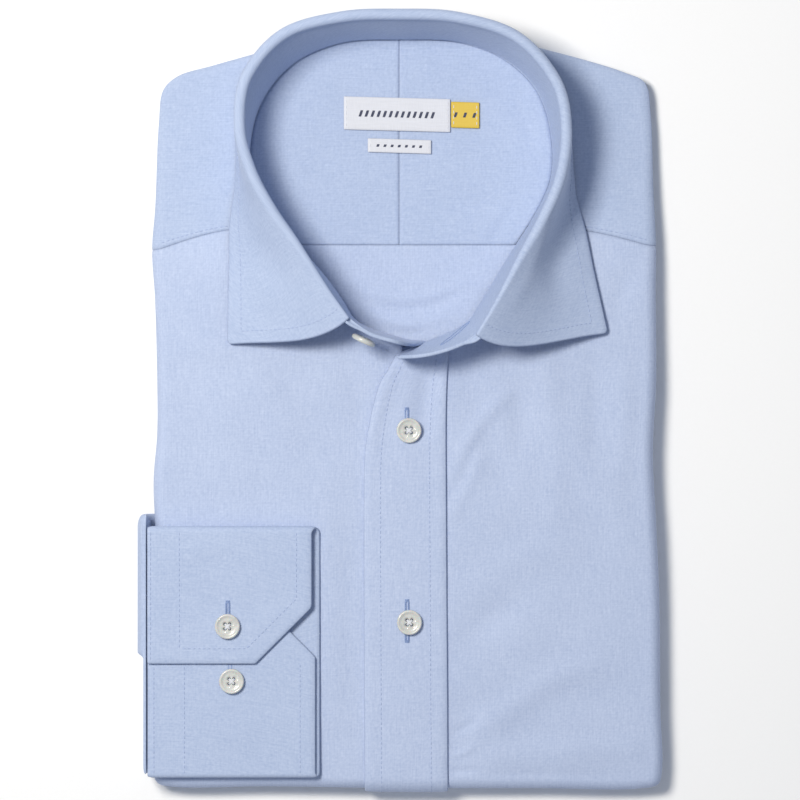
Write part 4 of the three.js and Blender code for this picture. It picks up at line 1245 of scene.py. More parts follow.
@dataclass
class NeckInside:
    """What shows inside the neck: the inner yoke, the back and the labels."""

    room: Workroom
    form: FoldedForm
    body: Body
    wall: float = 0.9
    label_wall: float = 0.5
    label_lift: float = 0.9
    least_side: float = 10.2
    least_share: float = 0.31
    centre_seam: float = -0.5
    yoke_seam: float = 70.0
    back_edges: Table = Table(("y", "left", "right"), (
        (69.9, -51, 56), (57, -42, 50), (45, -33, 43), (34, -24, 34), (25, -11, 22),
    ))
    labels: tuple[Label, ...] = (
        Label("label_wide", -25.3, 22.4, 136.2, 121.6, -0.026, Slot.WHITE, 13),
        Label("label_tab", 23.1, 35.5, 134.2, 122.9, -0.03, Slot.YELLOW, 3),
        Label("label_narrow", -14.5, 13.8, 117.5, 111.6, -0.03, Slot.WHITE, 7),
    )

    def laid(self, x: Array, y: Array) -> Surface:
        """Lay a grid of places on the inside of the neck."""
        z = self.form.inside(x, y) + self.form.inside_relief(x, y)
        return Surface(np.stack([x, y, z], axis=-1), np.stack([x, y], axis=-1))

    def yoke(self, side: Side) -> Surface:
        """Return the upper face of one half of the inner yoke."""
        sign, half_gap = side.value, SEAM_LINE / 2
        start = (-45.8, self.yoke_seam) if side is Side.LEFT else (51.6, self.yoke_seam)
        neck = self.body.seam_stretch(start, (sign * 12, 161.9), -half_gap)
        rim = neck.at(np.linspace(0, 1, 81))
        y = np.maximum(rim[:, 1], self.yoke_seam + half_gap)
        seam_x = self.centre_seam + sign * half_gap
        s = np.linspace(0, 1, 45)[None]
        if side is Side.LEFT:
            x = rim[:, :1] * (1 - s) + seam_x * s
        else:
            x = seam_x * (1 - s) + rim[:, :1] * s
        return self.laid(x, np.repeat(y[:, None], 45, axis=1))

    def back(self) -> Surface:
        """Return the upper face of the back where the neck opens on it."""
        at = np.linspace(len(self.back_edges.rows) - 1, 0, 45)
        y, left, right = (through(self.back_edges.column(name), at) for name in self.back_edges.names)
        s = np.linspace(0, 1, 81)[None]
        return self.laid(left[:, None] * (1 - s) + right[:, None] * s, np.repeat(y[:, None], 81, axis=1))

    def label_point(self, label: Label, x: Array, y: Array) -> Array:
        """Return places on a label's upper face from its own X and Y."""
        tilted = y + (x - (label.left + label.right) / 2) * label.tilt
        z = self.form.inside(x, tilted) + SEAM_GAP + self.label_lift
        return np.stack([x, tilted, z], axis=-1)

    def make_label(self, label: Label) -> None:
        """Make one label, its sewn ends and its plain woven marks."""
        x, y = np.meshgrid(np.linspace(label.left, label.right, 49), np.linspace(label.bottom, label.top, 21))
        points = self.label_point(label, x, y)
        surface = Surface(points, np.stack([x, y], axis=-1))
        made = make_object("shirt_" + label.node, *shell(surface, self.label_wall, TURNED_EDGE))
        finish = self.room.finishes.yellow if label.slot is Slot.YELLOW else self.room.finishes.white
        self.room.keep(made, finish, label.slot, [label.node])

    def mark(self, label: Label, needle: Seamstress) -> None:
        """Weave a row of slanted bars, a generic border, in the middle of a label."""
        inset = 0.16 * (label.right - label.left)
        x = np.linspace(label.left + inset, label.right - inset, label.marks)
        y = np.full(label.marks, (label.top + label.bottom) / 2)
        height = 0.26 * (label.top - label.bottom)
        for shift in (-0.55, -0.25, 0.05, 0.35):
            centre = self.label_point(label, x + shift, y)
            along = np.tile([0.35 * height, height, 0.0], (label.marks, 1))
            needle.bead(centre, along, np.tile([0.0, 0.0, 1.0], (label.marks, 1)),
                        Stitch(height, 1.0, 0.17, -0.02))

    def build(self) -> None:
        """Make and dress the inside of the neck."""
        cloth = self.room.cloth
        for side in Side:
            node = f"yoke_inside_{side.name.lower()}"
            cloth(node, self.yoke(side), self.wall, (66, 92), 5500, ["folded_core"], Grain.CROSSWISE)
        cloth("back_inside", self.back(), self.wall, (107, 45), 3600, ["folded_core"])
        needle, sewing = Seamstress(), Seamstress()
        for label in self.labels:
            self.make_label(label)
            self.mark(label, needle)
            for x in (label.left + 1.0, label.right - 1.0):
                y = np.linspace(label.bottom + 0.8, label.top - 0.8, 30)
                sewing.row(self.label_point(label, np.full(30, x), y), np.tile([0.0, 0.0, 1.0], (30, 1)))
        self.room.keep(needle.joined("label_marks"), self.room.finishes.mark_thread, Slot.WHITE)
        self.room.keep(sewing.joined("stitching_labels"), self.room.finishes.button_thread, Slot.WHITE)


# The collar


@dataclass
class Collar:
    """The collar: a stand round the neck and a leaf folded over it."""

    room: Workroom
    form: FoldedForm
    stand_wall: float = 1.7
    leaf_wall: float = 1.1
    fold_radius: float = 2.5
    point_radius: float = 1.1
    fold_rise: float = 1.5
    fold_gap: float = 0.1
    corner: float = 2.0
    leaf_leave: float = 0.3
    leaf_arrive: float = 0.35
    leaf_arrive_slope: float = 0.54
    leaf_steps: int = 40
    row_inset: float = 6.3
    sections: Table = Table(
        ("seamX", "seamY", "seamZ", "foldX", "foldY", "foldZ", "edgeX", "edgeY", "edgeZ", "bow"), (
            (-20.4, 36.5, 18.0, -23.5, 36.0, 46.0, -77.5, 25.2, 20.0, 1.8),
            (-31.2, 52.7, 17.0, -34.3, 50.9, 46.2, -77.3, 41.4, 19.4, 0.7),
            (-46.0, 69.8, 15.0, -46.5, 69.3, 46.5, -77.1, 62.1, 17.4, 0),
            (-58.6, 83.3, 13.6, -57.3, 84.6, 46.8, -77.1, 79.2, 15.8, 0),
            (-66.7, 101.3, 12.4, -66.5, 102.2, 47.2, -74.6, 99.0, 13.4, 0),
            (-66.7, 120.2, 11.4, -71.4, 121.6, 47.2, -74.4, 122.4, 12.0, 0),
            (-60.4, 137.7, 10.8, -68.1, 144.0, 46.8, -71.4, 147.5, 11.4, 0),
            (-46.5, 152.6, 10.3, -51.4, 163.0, 46.5, -53.9, 167.0, 8.8, 0),
            (-24.9, 161.1, 10.2, -25.8, 170.4, 46.5, -26.3, 174.6, 4.8, 0),
            (-0.1, 162.2, 10.2, -0.1, 171.5, 46.5, -0.1, 176.0, 4.4, 0),
            (25.5, 161.3, 10.2, 26.2, 170.0, 46.5, 26.9, 174.6, 4.8, 0),
            (46.4, 153.8, 10.3, 51.8, 161.4, 46.5, 54.9, 164.9, 9.8, 0),
            (61.5, 139.5, 10.8, 69.0, 142.2, 46.8, 72.3, 143.8, 12.0, 0),
            (67.8, 119.7, 11.4, 73.8, 121.4, 47.2, 76.8, 122.0, 12.0, 0),
            (67.4, 99.0, 12.4, 71.2, 99.0, 47.2, 78.8, 101.3, 13.6, 0),
            (58.4, 80.1, 13.9, 62.4, 78.3, 46.8, 83.1, 79.2, 16.2, 0),
            (49.4, 66.2, 15.3, 54.3, 63.9, 46.5, 85.8, 63.9, 17.6, 0),
            (38.1, 47.7, 17.2, 44.4, 45.5, 46.2, 89.6, 45.9, 19.2, 0.4),
            (30.9, 36.5, 18.6, 34.5, 28.8, 46.0, 93.0, 30.2, 20.0, 1.0),
        ),
    )
    button_end: tuple[tuple[float, ...], ...] = (
        (11.4, 26.8, 18.4, 6.8, 24.6, 30.0), (4.6, 27.2, 18.0, 2.4, 25.7, 37.5),
        (-1.0, 28.6, 18.0, -2.6, 26.9, 42.0), (-12.3, 32.0, 18.0, -13.3, 30.2, 43.0),
    )
    buttonhole_end: tuple[tuple[float, ...], ...] = (
        (23.3, 31.3, 20.0, 25.6, 24.9, 43.0), (13.4, 27.2, 20.0, 16.6, 21.9, 42.6),
        (4.8, 23.4, 20.0, 8.0, 20.3, 41.0), (-0.6, 20.7, 20.0, -1.0, 19.9, 33.0),
    )
    buttonhole: tuple[Pair, ...] = ((17.9, 24.5), (22.4, 27.6), (27.0, 31.4), (31.1, 35.1))
    buttonhole_side: Pair = (0.62, -0.78)
    leaf_creases: tuple[Crease, ...] = (
        Crease(((80, 100), (75, 80), (71, 62), (70, 44)), 7.0, -2.6),
        Crease(((76, 102), (67, 82), (61, 66), (54, 50), (46, 40)), 4.0, 0.7),
        Crease(((-70, 60), (-60, 48), (-52, 40)), 6.0, 0.4),
    )

    def point(self, part: str, at: Array) -> Array:
        """Return places on the seam, the fold or the edge at counts of the sections."""
        return through(self.sections.columns(part + "X", part + "Y", part + "Z"), at)

    def outward(self, at: Array) -> Array:
        """Return the level direction out of the neck along the fold."""
        last = len(self.sections.rows) - 1
        step = self.point("fold", np.minimum(at + 0.05, last)) - self.point("fold", np.maximum(at - 0.05, 0))
        step[:, 2] = 0
        step /= np.linalg.norm(step, axis=1, keepdims=True)
        return np.stack([-step[:, 1], step[:, 0], step[:, 2]], axis=-1)

    def radius(self, at: Array) -> Array:
        """Return how wide the leaf's fold is, tighter towards the collar's points."""
        inner = smoothstep(np.minimum(at, len(self.sections.rows) - 1 - at), 0.0, 3.0)
        return (self.point_radius + (self.fold_radius - self.point_radius) * inner)[:, None]

    def stand_top(self, at: Array) -> Array:
        """Return the upper edge of the stand where the leaf is sewn on."""
        top = self.point("fold", at) - self.outward(at) * self.radius(at)
        top[:, 2:] -= self.radius(at) + self.fold_rise + self.fold_gap
        return top

    def stand_slope(self, at: Array) -> Array:
        """Return the upward direction along the stand at its upper edge."""
        slope = (self.stand_top(at) - self.point("seam", at)) * np.array([1.4, 1.4, 1.0])
        return slope / np.linalg.norm(slope, axis=1, keepdims=True)

    def neck_seam(self) -> PlanCurve:
        """Return the seam between the stand and the shirt, seen from above."""
        middle = self.sections.columns("seamX", "seamY")
        first = np.array([row[:2] for row in self.button_end[1:]])
        last = np.array([row[:2] for row in self.buttonhole_end])
        return PlanCurve(np.vstack([first, middle, last]))

    def leaf(self) -> Surface:
        """Return the outside of the leaf: over the fold at the top and down to its free edge."""
        last = len(self.sections.rows) - 1
        close = np.array([0.0, 0.014, 0.032, 0.055, 0.085, 0.12, 0.16, 0.21])
        at = np.concatenate([close, np.linspace(0.27, last - 0.27, 285), last - close[::-1]])
        fold, edge = self.point("fold", at), self.point("edge", at)
        out, radius = self.outward(at), self.radius(at)
        up = np.array([0.0, 0.0, 1.0])
        centre = fold - up * radius
        level = (edge - fold) * np.array([1.0, 1.0, 0.0])
        width = np.linalg.norm(level, axis=1, keepdims=True)
        last_angle = np.arctan2(width, (fold - edge)[:, 2:])
        angle = (np.pi + (last_angle - np.pi) * np.linspace(0, 1, 15)[None])[..., None]
        wide = radius[..., None]
        around = centre[:, None] + out[:, None] * wide * np.cos(angle) + up * wide * np.sin(angle)
        below = self.fold_rise * np.array([1.0, 0.5])[None, :, None]
        low = around[:, :1] - self.stand_slope(at)[:, None] * below
        start = around[:, -1]
        run = edge - start
        reach = np.linalg.norm(run, axis=1, keepdims=True)
        leave = start + (out * np.sin(last_angle) - up * np.cos(last_angle)) * self.leaf_leave * reach
        arrive = level + up * self.leaf_arrive_slope * run[:, 2:]
        arrive /= np.linalg.norm(arrive, axis=1, keepdims=True)
        approach = edge - arrive * self.leaf_arrive * reach
        steps = self.leaf_steps
        t = (np.arange(1, steps + 1) / steps)[None, :, None] * (1 - self.pulled_in(edge) / reach)[:, None]
        drop = (start[:, None] * (1 - t) ** 3 + leave[:, None] * 3 * t * (1 - t) ** 2
                + approach[:, None] * 3 * t * t * (1 - t) + edge[:, None] * t ** 3)
        bow = through(self.sections.column("bow"), at)
        drop[..., 1] -= bow[:, None] * np.sin(np.pi * t[..., 0])
        points = np.concatenate([low, around, drop], axis=1)[::-1]
        surface = Surface(points, arc_cut(points))
        x, y = points[..., 0], points[..., 1]
        relief = sum(crease.height(x, y) for crease in self.leaf_creases)
        relief = relief + Ripple(51, 34, 0.16).at(x, y + points[..., 2])
        hang = smoothstep(np.arange(points.shape[1], dtype=float), 14, 24)[None]
        return surface.raised(relief * hang)

    def pulled_in(self, edge: Array) -> Array:
        """Return how far each place of the leaf's free edge is drawn in, so that both points are round."""
        steps = np.linalg.norm(np.diff(edge, axis=0), axis=1)
        along = np.concatenate(([0.0], np.cumsum(steps)))
        depth = np.maximum(self.corner - np.minimum(along, along[-1] - along), 0)
        return (self.corner - np.sqrt(np.maximum(self.corner ** 2 - depth ** 2, 0)))[:, None]

    def stand(self) -> Surface:
        """Return the inner face of the stand with both of its ends, from the right front round to the left.

        Under the leaf its upper edge steps back and runs on behind the leaf's own edge.

        Returns:
            The face, with the neck seam as its first column.
        """
        at = np.linspace(0, len(self.sections.rows) - 1, 37)
        under = np.concatenate([self.point("seam", at), self.stand_top(at)], axis=1)
        pairs = np.vstack([np.array(self.button_end), under, np.array(self.buttonhole_end)])
        count = np.linspace(0, len(pairs) - 1, 361)
        fine = through(pairs, count)
        seam, top = fine[:, None, :3], fine[:, None, 3:]
        s = np.append(np.linspace(0, 0.975, 17), [0.99, 1.0])[None, :, None]
        lean = 0.6 * s + 0.4 * s * s
        points = seam + (top - seam) * np.concatenate([lean, lean, s], axis=-1)
        face = Surface(points, arc_cut(points))
        relief = Ripple(61, 26, 0.1).at(points[..., 0] + points[..., 2], points[..., 1])
        points = face.raised(relief * np.sin(np.pi * s[..., 0])).points
        first, last = len(self.button_end) - 1.0, len(pairs) - len(self.buttonhole_end)
        hidden = smoothstep(count, first + 0.2, first + 1.0) * (1 - smoothstep(count, last - 1.0, last - 0.2))
        hidden = hidden[:, None]
        back, rise = face.normals()[:, -1] * hidden, points[:, -1] - points[:, -2]
        rise /= np.linalg.norm(rise, axis=1, keepdims=True)
        step = self.leaf_wall + 0.1
        beyond = [
            points[:, -1] + rise * 0.03 + back * 0.3 * step, points[:, -1] + rise * 0.08 + back * step,
            points[:, -1] + rise * (0.16 + 1.2 * hidden) + back * step,
        ]
        points = np.concatenate([points, np.stack(beyond, axis=1)], axis=1)[::-1]
        return Surface(points, arc_cut(points))

    def build(self) -> None:
        """Make and dress the collar."""
        leaf, stand = self.leaf(), self.stand()
        cloth = self.room.cloth
        cloth("collar_stand", stand, self.stand_wall, (450, 36), 15000,
              ["yoke_inside_left", "yoke_inside_right"], Grain.CROSSWISE, TURNED_EDGE)
        cloth("collar_leaf", leaf, self.leaf_wall, (470, 66), 18500, ["collar_stand"],
              Grain.CROSSWISE, TURNED_EDGE)
        self.sew(leaf, stand)

    def sew(self, leaf: Surface, stand: Surface) -> None:
        """Sew the rows round the leaf and along the ends of the stand, and the stand's buttonhole."""
        needle = Seamstress()
        rows, columns = (count - 1 for count in leaf.points.shape[:2])
        across, along = leaf.spans(1), leaf.spans(0)
        counts = np.arange(columns + 1, dtype=float)
        edge_column = np.array([np.interp(span[-1] - self.row_inset, span, counts) for span in across])
        row_counts = np.arange(rows + 1, dtype=float)
        first = np.array([np.interp(self.row_inset, along[:, i], row_counts) for i in range(columns + 1)])
        last = np.array([
            np.interp(along[-1, i] - self.row_inset, along[:, i], row_counts) for i in range(columns + 1)
        ])
        walk = np.linspace(0, rows, 2400)
        column = np.interp(walk, row_counts, edge_column)
        kept = (walk > np.interp(column, counts, first)) & (walk < np.interp(column, counts, last))
        needle.row(*leaf.sample(walk[kept], column[kept]))
        for turn, at_end in ((first, edge_column[0]), (last, edge_column[-1])):
            walk = np.linspace(16.0, at_end, 400)
            needle.row(*leaf.sample(np.interp(walk, counts, turn), walk))
        self.room.keep(needle.joined("stitching_collar"), self.room.finishes.thread, Slot.SHIRTING)
        needle = Seamstress()
        share = np.linspace(0, 1, 60)
        path = PlanCurve(np.array(self.buttonhole)).at(share)
        for side in (-0.5, 0.5):
            line = path + side * (np.sin(np.pi * share) ** 0.5)[:, None] * np.array(self.buttonhole_side)
            needle.row(*self.on_stand(stand, line), LIP)
        lips = needle.joined("buttonhole_collar")
        self.room.keep(lips, self.room.finishes.buttonhole_thread, Slot.SHIRTING)

    def on_stand(self, stand: Surface, places: Array) -> tuple[Array, Array]:
        """Find places on the stand's inner face.

        Args:
            stand: The inner face.
            places: Their X and Y.

        Returns:
            The points and the normals.
        """
        row, column = np.meshgrid(np.linspace(4, 90, 700), np.linspace(1, 17, 90), indexing="ij")
        points, normals = stand.sample(row.ravel(), column.ravel())
        gap = np.linalg.norm(points[None, :, :2] - places[:, None], axis=-1)
        nearest = gap.argmin(axis=1)
        return points[nearest], normals[nearest]


# Cuff and sleeve


@dataclass
class Cuff:
    """The mitred barrel cuff, wound flat in three layers on the left front."""

    room: Workroom
    form: FoldedForm
    wall: float = 1.6
    cloth_wall: float = 1.3
    gap: float = 0.6
    left: float = -113.0
    inner_right: float = -38.6
    outer_right: float = -40.2
    back_right: float = -36.6
    inner_end: float = -90.5
    outer_end: float = -117.9
    mitre: float = 25.0
    top_fold: float = -56.6
    bottom_fold: float = -169.6
    seat: Pair = (-76.0, -112.0)
    row_inset: float = 6.4
    corner_share: float = 0.41
    creases: tuple[Crease, ...] = (
        Crease(((-104, -72), (-84, -66), (-62, -70)), 4.5, 0.35),
        Crease(((-106, -86), (-90, -92), (-80, -98)), 5.0, -0.3),
        Crease(((-70, -104), (-58, -98), (-50, -90)), 5.0, 0.3),
        Crease(((-100, -140), (-80, -150), (-60, -146)), 7.0, 0.3),
    )

    def layer_top(self, layer: int) -> float:
        """Return the height of the top of a layer, counted from the lowest."""
        x, y = np.array([self.seat[0]]), np.array([self.seat[1]])
        seat = float(self.form.base(x, y)[0]) + SEAM_GAP + 0.7
        return seat + self.wall + (self.wall + self.gap) * (layer - 1)

    def relief(self, x: Array, y: Array) -> Array:
        """Return the soft creases of the cuff."""
        creased = sum(crease.height(x, y) for crease in self.creases)
        return np.clip(creased + Ripple(71, 36, 0.08).at(x, y), -0.28, 0.45)

    def path(self) -> Array:
        """Follow the middle of the wound cloth.

        Returns:
            A row for each step: Y, Z, the right end, and the outward direction in Y and Z.
        """
        middle = {layer: self.layer_top(layer) - self.wall / 2 for layer in (1, 2, 3)}
        half = self.wall / 2
        low = (middle[2] - middle[1]) / 2
        high = (middle[3] - middle[1]) / 2

        def flat(start: float, end: float, layer: int, right: Array, up: float) -> Array:
            """Return steps along a flat layer."""
            y = np.linspace(start, end, len(right))
            return np.column_stack([y, np.full(len(y), middle[layer]), right, np.zeros(len(y)),
                                    np.full(len(y), up)])

        def turn(centre: float, base: float, radius: float, angles: Pair, rights: Pair) -> Array:
            """Return steps round a fold."""
            angle = np.radians(np.linspace(*angles, 17))
            return np.column_stack([
                centre + radius * np.cos(angle), base + radius + radius * np.sin(angle),
                np.linspace(*rights, 17), np.cos(angle), np.sin(angle),
            ])

        inner_run = np.linspace(0, self.inner_end - self.bottom_fold - low - half, 56)
        inner_right = self.inner_right - np.maximum(self.mitre - inner_run, 0)
        top_centre = self.top_fold - high - half
        outer_run = np.linspace(top_centre - self.outer_end, 0, 44)
        outer_right = self.outer_right - np.maximum(self.mitre - outer_run, 0)
        bottom_centre = self.bottom_fold + low + half
        back = np.full(70, self.back_right)
        return np.vstack([
            flat(self.inner_end, bottom_centre, 2, inner_right, 1.0),
            turn(bottom_centre, middle[1], low, (90, 270), (self.inner_right, self.back_right))[1:],
            flat(bottom_centre, top_centre, 1, back, -1.0)[1:],
            turn(top_centre, middle[1], high, (-90, 90), (self.back_right, self.outer_right))[1:],
            flat(top_centre, self.outer_end, 3, outer_right, 1.0)[1:],
        ])

    def surface(self) -> Surface:
        """Return the outside of the wound cuff."""
        path = self.path()[::-1]
        s = np.linspace(0, 1, 49)[None]
        x = self.left + (path[:, 2:3] - self.left) * s
        y = np.repeat((path[:, 0] + path[:, 3] * self.wall / 2)[:, None], 49, axis=1)
        z = np.repeat((path[:, 1] + path[:, 4] * self.wall / 2)[:, None], 49, axis=1)
        top = np.repeat((path[:, 4:5] > 0.5), 49, axis=1)
        points = np.stack([x, y, z + self.relief(x, y) * top * np.clip(path[:, 4:5], 0, 1)], axis=-1)
        return Surface(points, np.stack([x, arc_cut(points)[..., 1]], axis=-1))

    def on_layer(self, layer: int, x: Array, y: Array) -> tuple[Array, Array]:
        """Return places on a layer's top and their outward directions."""
        points = np.column_stack([x, y, self.layer_top(layer) + self.relief(x, y)])
        return points, np.tile([0.0, 0.0, 1.0], (len(x), 1))

    def sew_row(self, layer: int, corners: Sequence[Pair], needle: Seamstress) -> None:
        """Sew a row through corners on a layer's top."""
        chain = np.array(corners)
        for start, end in zip(chain[:-1], chain[1:]):
            line = start + (end - start) * np.linspace(0, 1, 60)[:, None]
            needle.row(*self.on_layer(layer, line[:, 0], line[:, 1]))

    def build(self) -> None:
        """Make and dress the cuff."""
        made = self.room.cloth("cuff", self.surface(), self.cloth_wall, (76, 258), 19000,
                               ["front_button_side"], Grain.CROSSWISE, TURNED_EDGE)
        log.info("%s is wound in three layers", made.name)
        needle = Seamstress()
        top, low = self.top_fold - 2.4, self.bottom_fold + 1.6
        inset = self.row_inset
        right, end = self.outer_right - inset, self.outer_end + inset
        corner = self.mitre - inset * self.corner_share
        self.sew_row(3, [(-99.1, top), (-99.1, end)], needle)
        self.sew_row(3, [(-112.0, top), (-112.0, self.outer_end + 1)], needle)
        self.sew_row(3, [(-98.0, end), (right - corner, end), (right, end + corner), (right, top)], needle)
        self.sew_row(2, [(-96.9, self.outer_end - 1.5), (-96.9, low)], needle)
        self.sew_row(2, [(-110.6, self.outer_end - 1.5), (-110.6, low)], needle)
        lower_right = self.inner_right - inset
        self.sew_row(2, [(lower_right, self.inner_end - 27.6), (lower_right, low)], needle)
        self.room.keep(needle.joined("stitching_cuff"), self.room.finishes.thread, Slot.SHIRTING)


@dataclass
class Sleeve:
    """The stretch of sleeve that runs from the cuff round the left edge and under the body."""

    room: Workroom
    wall: float = 0.8
    top: float = -51.4
    bottom: float = -168.0
    placket_edge: float = -115.0
    tucked: float = -115.4
    upper_turn: float = -57.0
    lower_turn: float = -164.0
    stations: int = 31
    profile: Table = Table(("outerX", "outerZ", "innerX", "innerZ"), (
        (-114.4, 22.2, -113.9, 19.2), (-116.6, 20.6, -113.5, 17.0), (-118.1, 16.0, -113.0, 13.6),
        (-118.2, 11.0, -112.4, 9.8), (-117.2, 5.0, -111.6, 6.4), (-113.6, 1.2, -109.8, 4.0),
        (-107.0, 0.4, -106.6, 3.2),
    ))

    def layers(self, row: Array, y: Array) -> tuple[Array, Array]:
        """Return the outer and the inner layer of one section.

        Args:
            row: The section's outer X and Z and its inner X and Z.
            y: Places along the shirt.

        Returns:
            Points of the outer and of the inner layer.
        """
        spread = smoothstep(y, self.placket_edge - 1.5, self.placket_edge + 1.5)
        pushed = min(row[0] - self.tucked, 0.0)
        outer = np.column_stack([row[0] - pushed * (1 - spread), y, np.full(len(y), row[1])])
        inner = np.column_stack([np.full(len(y), row[2]), y, np.full(len(y), row[3])])
        return outer, inner

    def loop(self, row: Array) -> Array:
        """Return one section of the flattened tube as a closed loop."""
        y = np.concatenate([np.linspace(self.lower_turn, -119, 24), np.linspace(-118.4, -112.6, 12),
                            np.linspace(-111, self.upper_turn, 28)])
        outer, inner = self.layers(row, y)

        def turned(place: float, reach: float) -> Array:
            """Return the fold that joins both layers at one side of the tube."""
            upper, lower = (layer[0] for layer in self.layers(row, np.array([place])))
            angle = np.radians(np.linspace(0, 180, 11)[1:-1])[:, None]
            points = (upper + lower) / 2 + (upper - lower) / 2 * np.cos(angle)
            points[:, 1] = place + reach * np.sin(angle[:, 0])
            return points

        top = turned(self.upper_turn, self.top - self.upper_turn)
        bottom = turned(self.lower_turn, self.bottom - self.lower_turn)[::-1]
        return np.vstack([outer, top, inner[::-1], bottom])

    def build(self) -> None:
        """Make and dress the sleeve."""
        stations = np.linspace(0, len(self.profile.rows) - 1, self.stations)
        sizes = through(self.profile.columns(*self.profile.names), stations)
        points = np.stack([self.loop(row) for row in sizes])
        wrapped = np.concatenate([points, points[:, :1]], axis=1)
        cut = arc_cut(wrapped)[:, :-1]
        surface = Surface(points, cut, closed=True)
        self.room.cloth("sleeve", surface, self.wall, (235, 27), 5700,
                        ["folded_core", "cuff"], Grain.CROSSWISE)


# Buttons


@dataclass(frozen=True)
class Seat:
    """Where a button lies: its node, its middle and the direction of its face."""

    node: str
    middle: tuple[float, float, float]
    turn: float = 0.0
    tip: float = 0.0


@dataclass
class Buttons:
    """Four-hole buttons of 18 ligne with a raised rim, sewn with a cross of thread."""

    room: Workroom
    form: FoldedForm
    body: Body
    cuff: Cuff
    radius: float = 5.65
    thickness: float = 2.4
    rim: float = 1.1
    dish: float = 0.6
    hole_radius: float = 0.75
    hole_offset: float = 1.45
    front_places: Table = Table(("x", "y"), ((3.9, -13.7), (4.1, -99.9)))
    cuff_places: Table = Table(("x", "y", "layer"), ((-77.5, -101.5, 3), (-75.7, -126.2, 2)))

    def seats(self) -> list[Seat]:
        """Return the place of each button."""
        half = self.thickness / 2
        seats = []
        for name, (x, y) in zip(("upper", "lower"), self.front_places.rows):
            ground = float(self.form.base(np.array([x]), np.array([y]))[0]) + self.body.placket_lift
            seats.append(Seat("button_front_" + name, (x, y, ground + SEAM_GAP + half)))
        for name, (x, y, layer) in zip(("upper", "lower"), self.cuff_places.rows):
            ground = self.cuff.layer_top(int(layer))
            seats.append(Seat("button_cuff_" + name, (x, y, ground + SEAM_GAP + half)))
        seats.append(Seat("button_collar", (-16.3, 26.8, 36.0), turn=-115.0, tip=94.0))
        return seats

    def profile(self) -> Array:
        """Return half of the button's section, from the middle of its back to the middle of its face."""
        half, radius = self.thickness / 2, self.radius
        face = half - self.dish
        corners = [
            (0.0, -half), (2.5, -half), (radius - 1.4, -half), (radius - 0.5, -half + 0.35),
            (radius, -half + 0.9), (radius, 0.2), (radius - 0.06, half - 0.5),
            (radius - 0.3, half - 0.14), (radius - 0.62, half),
            (radius - 0.95, half - 0.1), (radius - 1.3, half - 0.32), (radius - 1.75, face - 0.02),
            (radius - 2.4, face - 0.1), (1.0, face - 0.16), (0.0, face - 0.17),
        ]
        return np.array(corners)

    def blank(self) -> bpy.types.Object:
        """Turn one button and drill its holes."""
        section = self.profile()
        count = 72
        angle = 2 * np.pi * np.arange(count) / count
        rings = [
            np.column_stack([r * np.cos(angle), r * np.sin(angle), np.full(count, z)])
            for r, z in section[1:-1]
        ]
        points = np.vstack([*rings, [[0, 0, section[0, 1]]], [[0, 0, section[-1, 1]]]])
        index = np.arange(len(rings) * count).reshape(len(rings), count)
        ahead = np.roll(index, -1, axis=1)
        quads = np.stack([index[:-1], ahead[:-1], ahead[1:], index[1:]], axis=-1).reshape(-1, 4).tolist()
        back, front = len(points) - 2, len(points) - 1
        quads += [[back, int(b), int(a)] for a, b in zip(index[0], ahead[0])]
        quads += [[front, int(a), int(b)] for a, b in zip(index[-1], ahead[-1])]
        body = make_object("button_blank", points, quads)
        drill = self.drill()
        cut = body.modifiers.new("holes", "BOOLEAN")
        cut.operation, cut.solver, cut.object = "DIFFERENCE", "EXACT", drill
        drilled = bpy.data.meshes.new_from_object(body.evaluated_get(bpy.context.evaluated_depsgraph_get()))
        for used in (body, drill):
            bpy.data.objects.remove(used)
        holder = bpy.data.objects.new("button_blank", drilled)
        return holder

    def drill(self) -> bpy.types.Object:
        """Make the four pins that cut the holes."""
        count = 20
        angle = 2 * np.pi * np.arange(count) / count
        points, faces = [], []
        for sx, sy in ((1, 1), (-1, 1), (-1, -1), (1, -1)):
            x = sx * self.hole_offset * np.sqrt(0.5) + self.hole_radius * np.cos(angle)
            y = sy * self.hole_offset * np.sqrt(0.5) + self.hole_radius * np.sin(angle)
            start = len(points) * count
            points.append(np.column_stack([x, y, np.full(count, -self.thickness)]))
            points.append(np.column_stack([x, y, np.full(count, self.thickness)]))
            low = start + np.arange(count)
            ahead = np.roll(low, -1)
            faces += np.stack([low, ahead, ahead + count, low + count], axis=-1).tolist()
            faces += [low[::-1].tolist(), (low + count).tolist()]
        return make_object("button_drill", np.vstack(points), faces)

    def frame_of(self, seat: Seat) -> Array:
        """Return the directions of a button's own X, Y and face as columns."""
        turn, tip = np.radians(seat.turn), np.radians(seat.tip)
        about_z = np.array([[np.cos(turn), -np.sin(turn), 0], [np.sin(turn), np.cos(turn), 0], [0, 0, 1]])
        about_y = np.array([[np.cos(tip), 0, np.sin(tip)], [0, 1, 0], [-np.sin(tip), 0, np.cos(tip)]])
        return about_z @ about_y

    def thread(self, seat: Seat, needle: Seamstress) -> None:
        """Sew a button on with a cross of four strands."""
        axes = self.frame_of(seat)
        middle = np.array(seat.middle)
        height = self.thickness / 2 - self.dish - 0.1
        for turn in (45, -45):
            along = np.array([np.cos(np.radians(turn)), np.sin(np.radians(turn)), 0.0])
            aside = np.array([-along[1], along[0], 0.0])
            for shift in (-0.3, 0.0, 0.3):
                centre = middle + axes @ (aside * shift + np.array([0.0, 0.0, height + 0.16]))
                needle.bead(centre[None], (axes @ along)[None], axes[:, 2][None],
                            Stitch(2 * self.hole_offset + 0.7, 1.0, 0.2, 0.1))

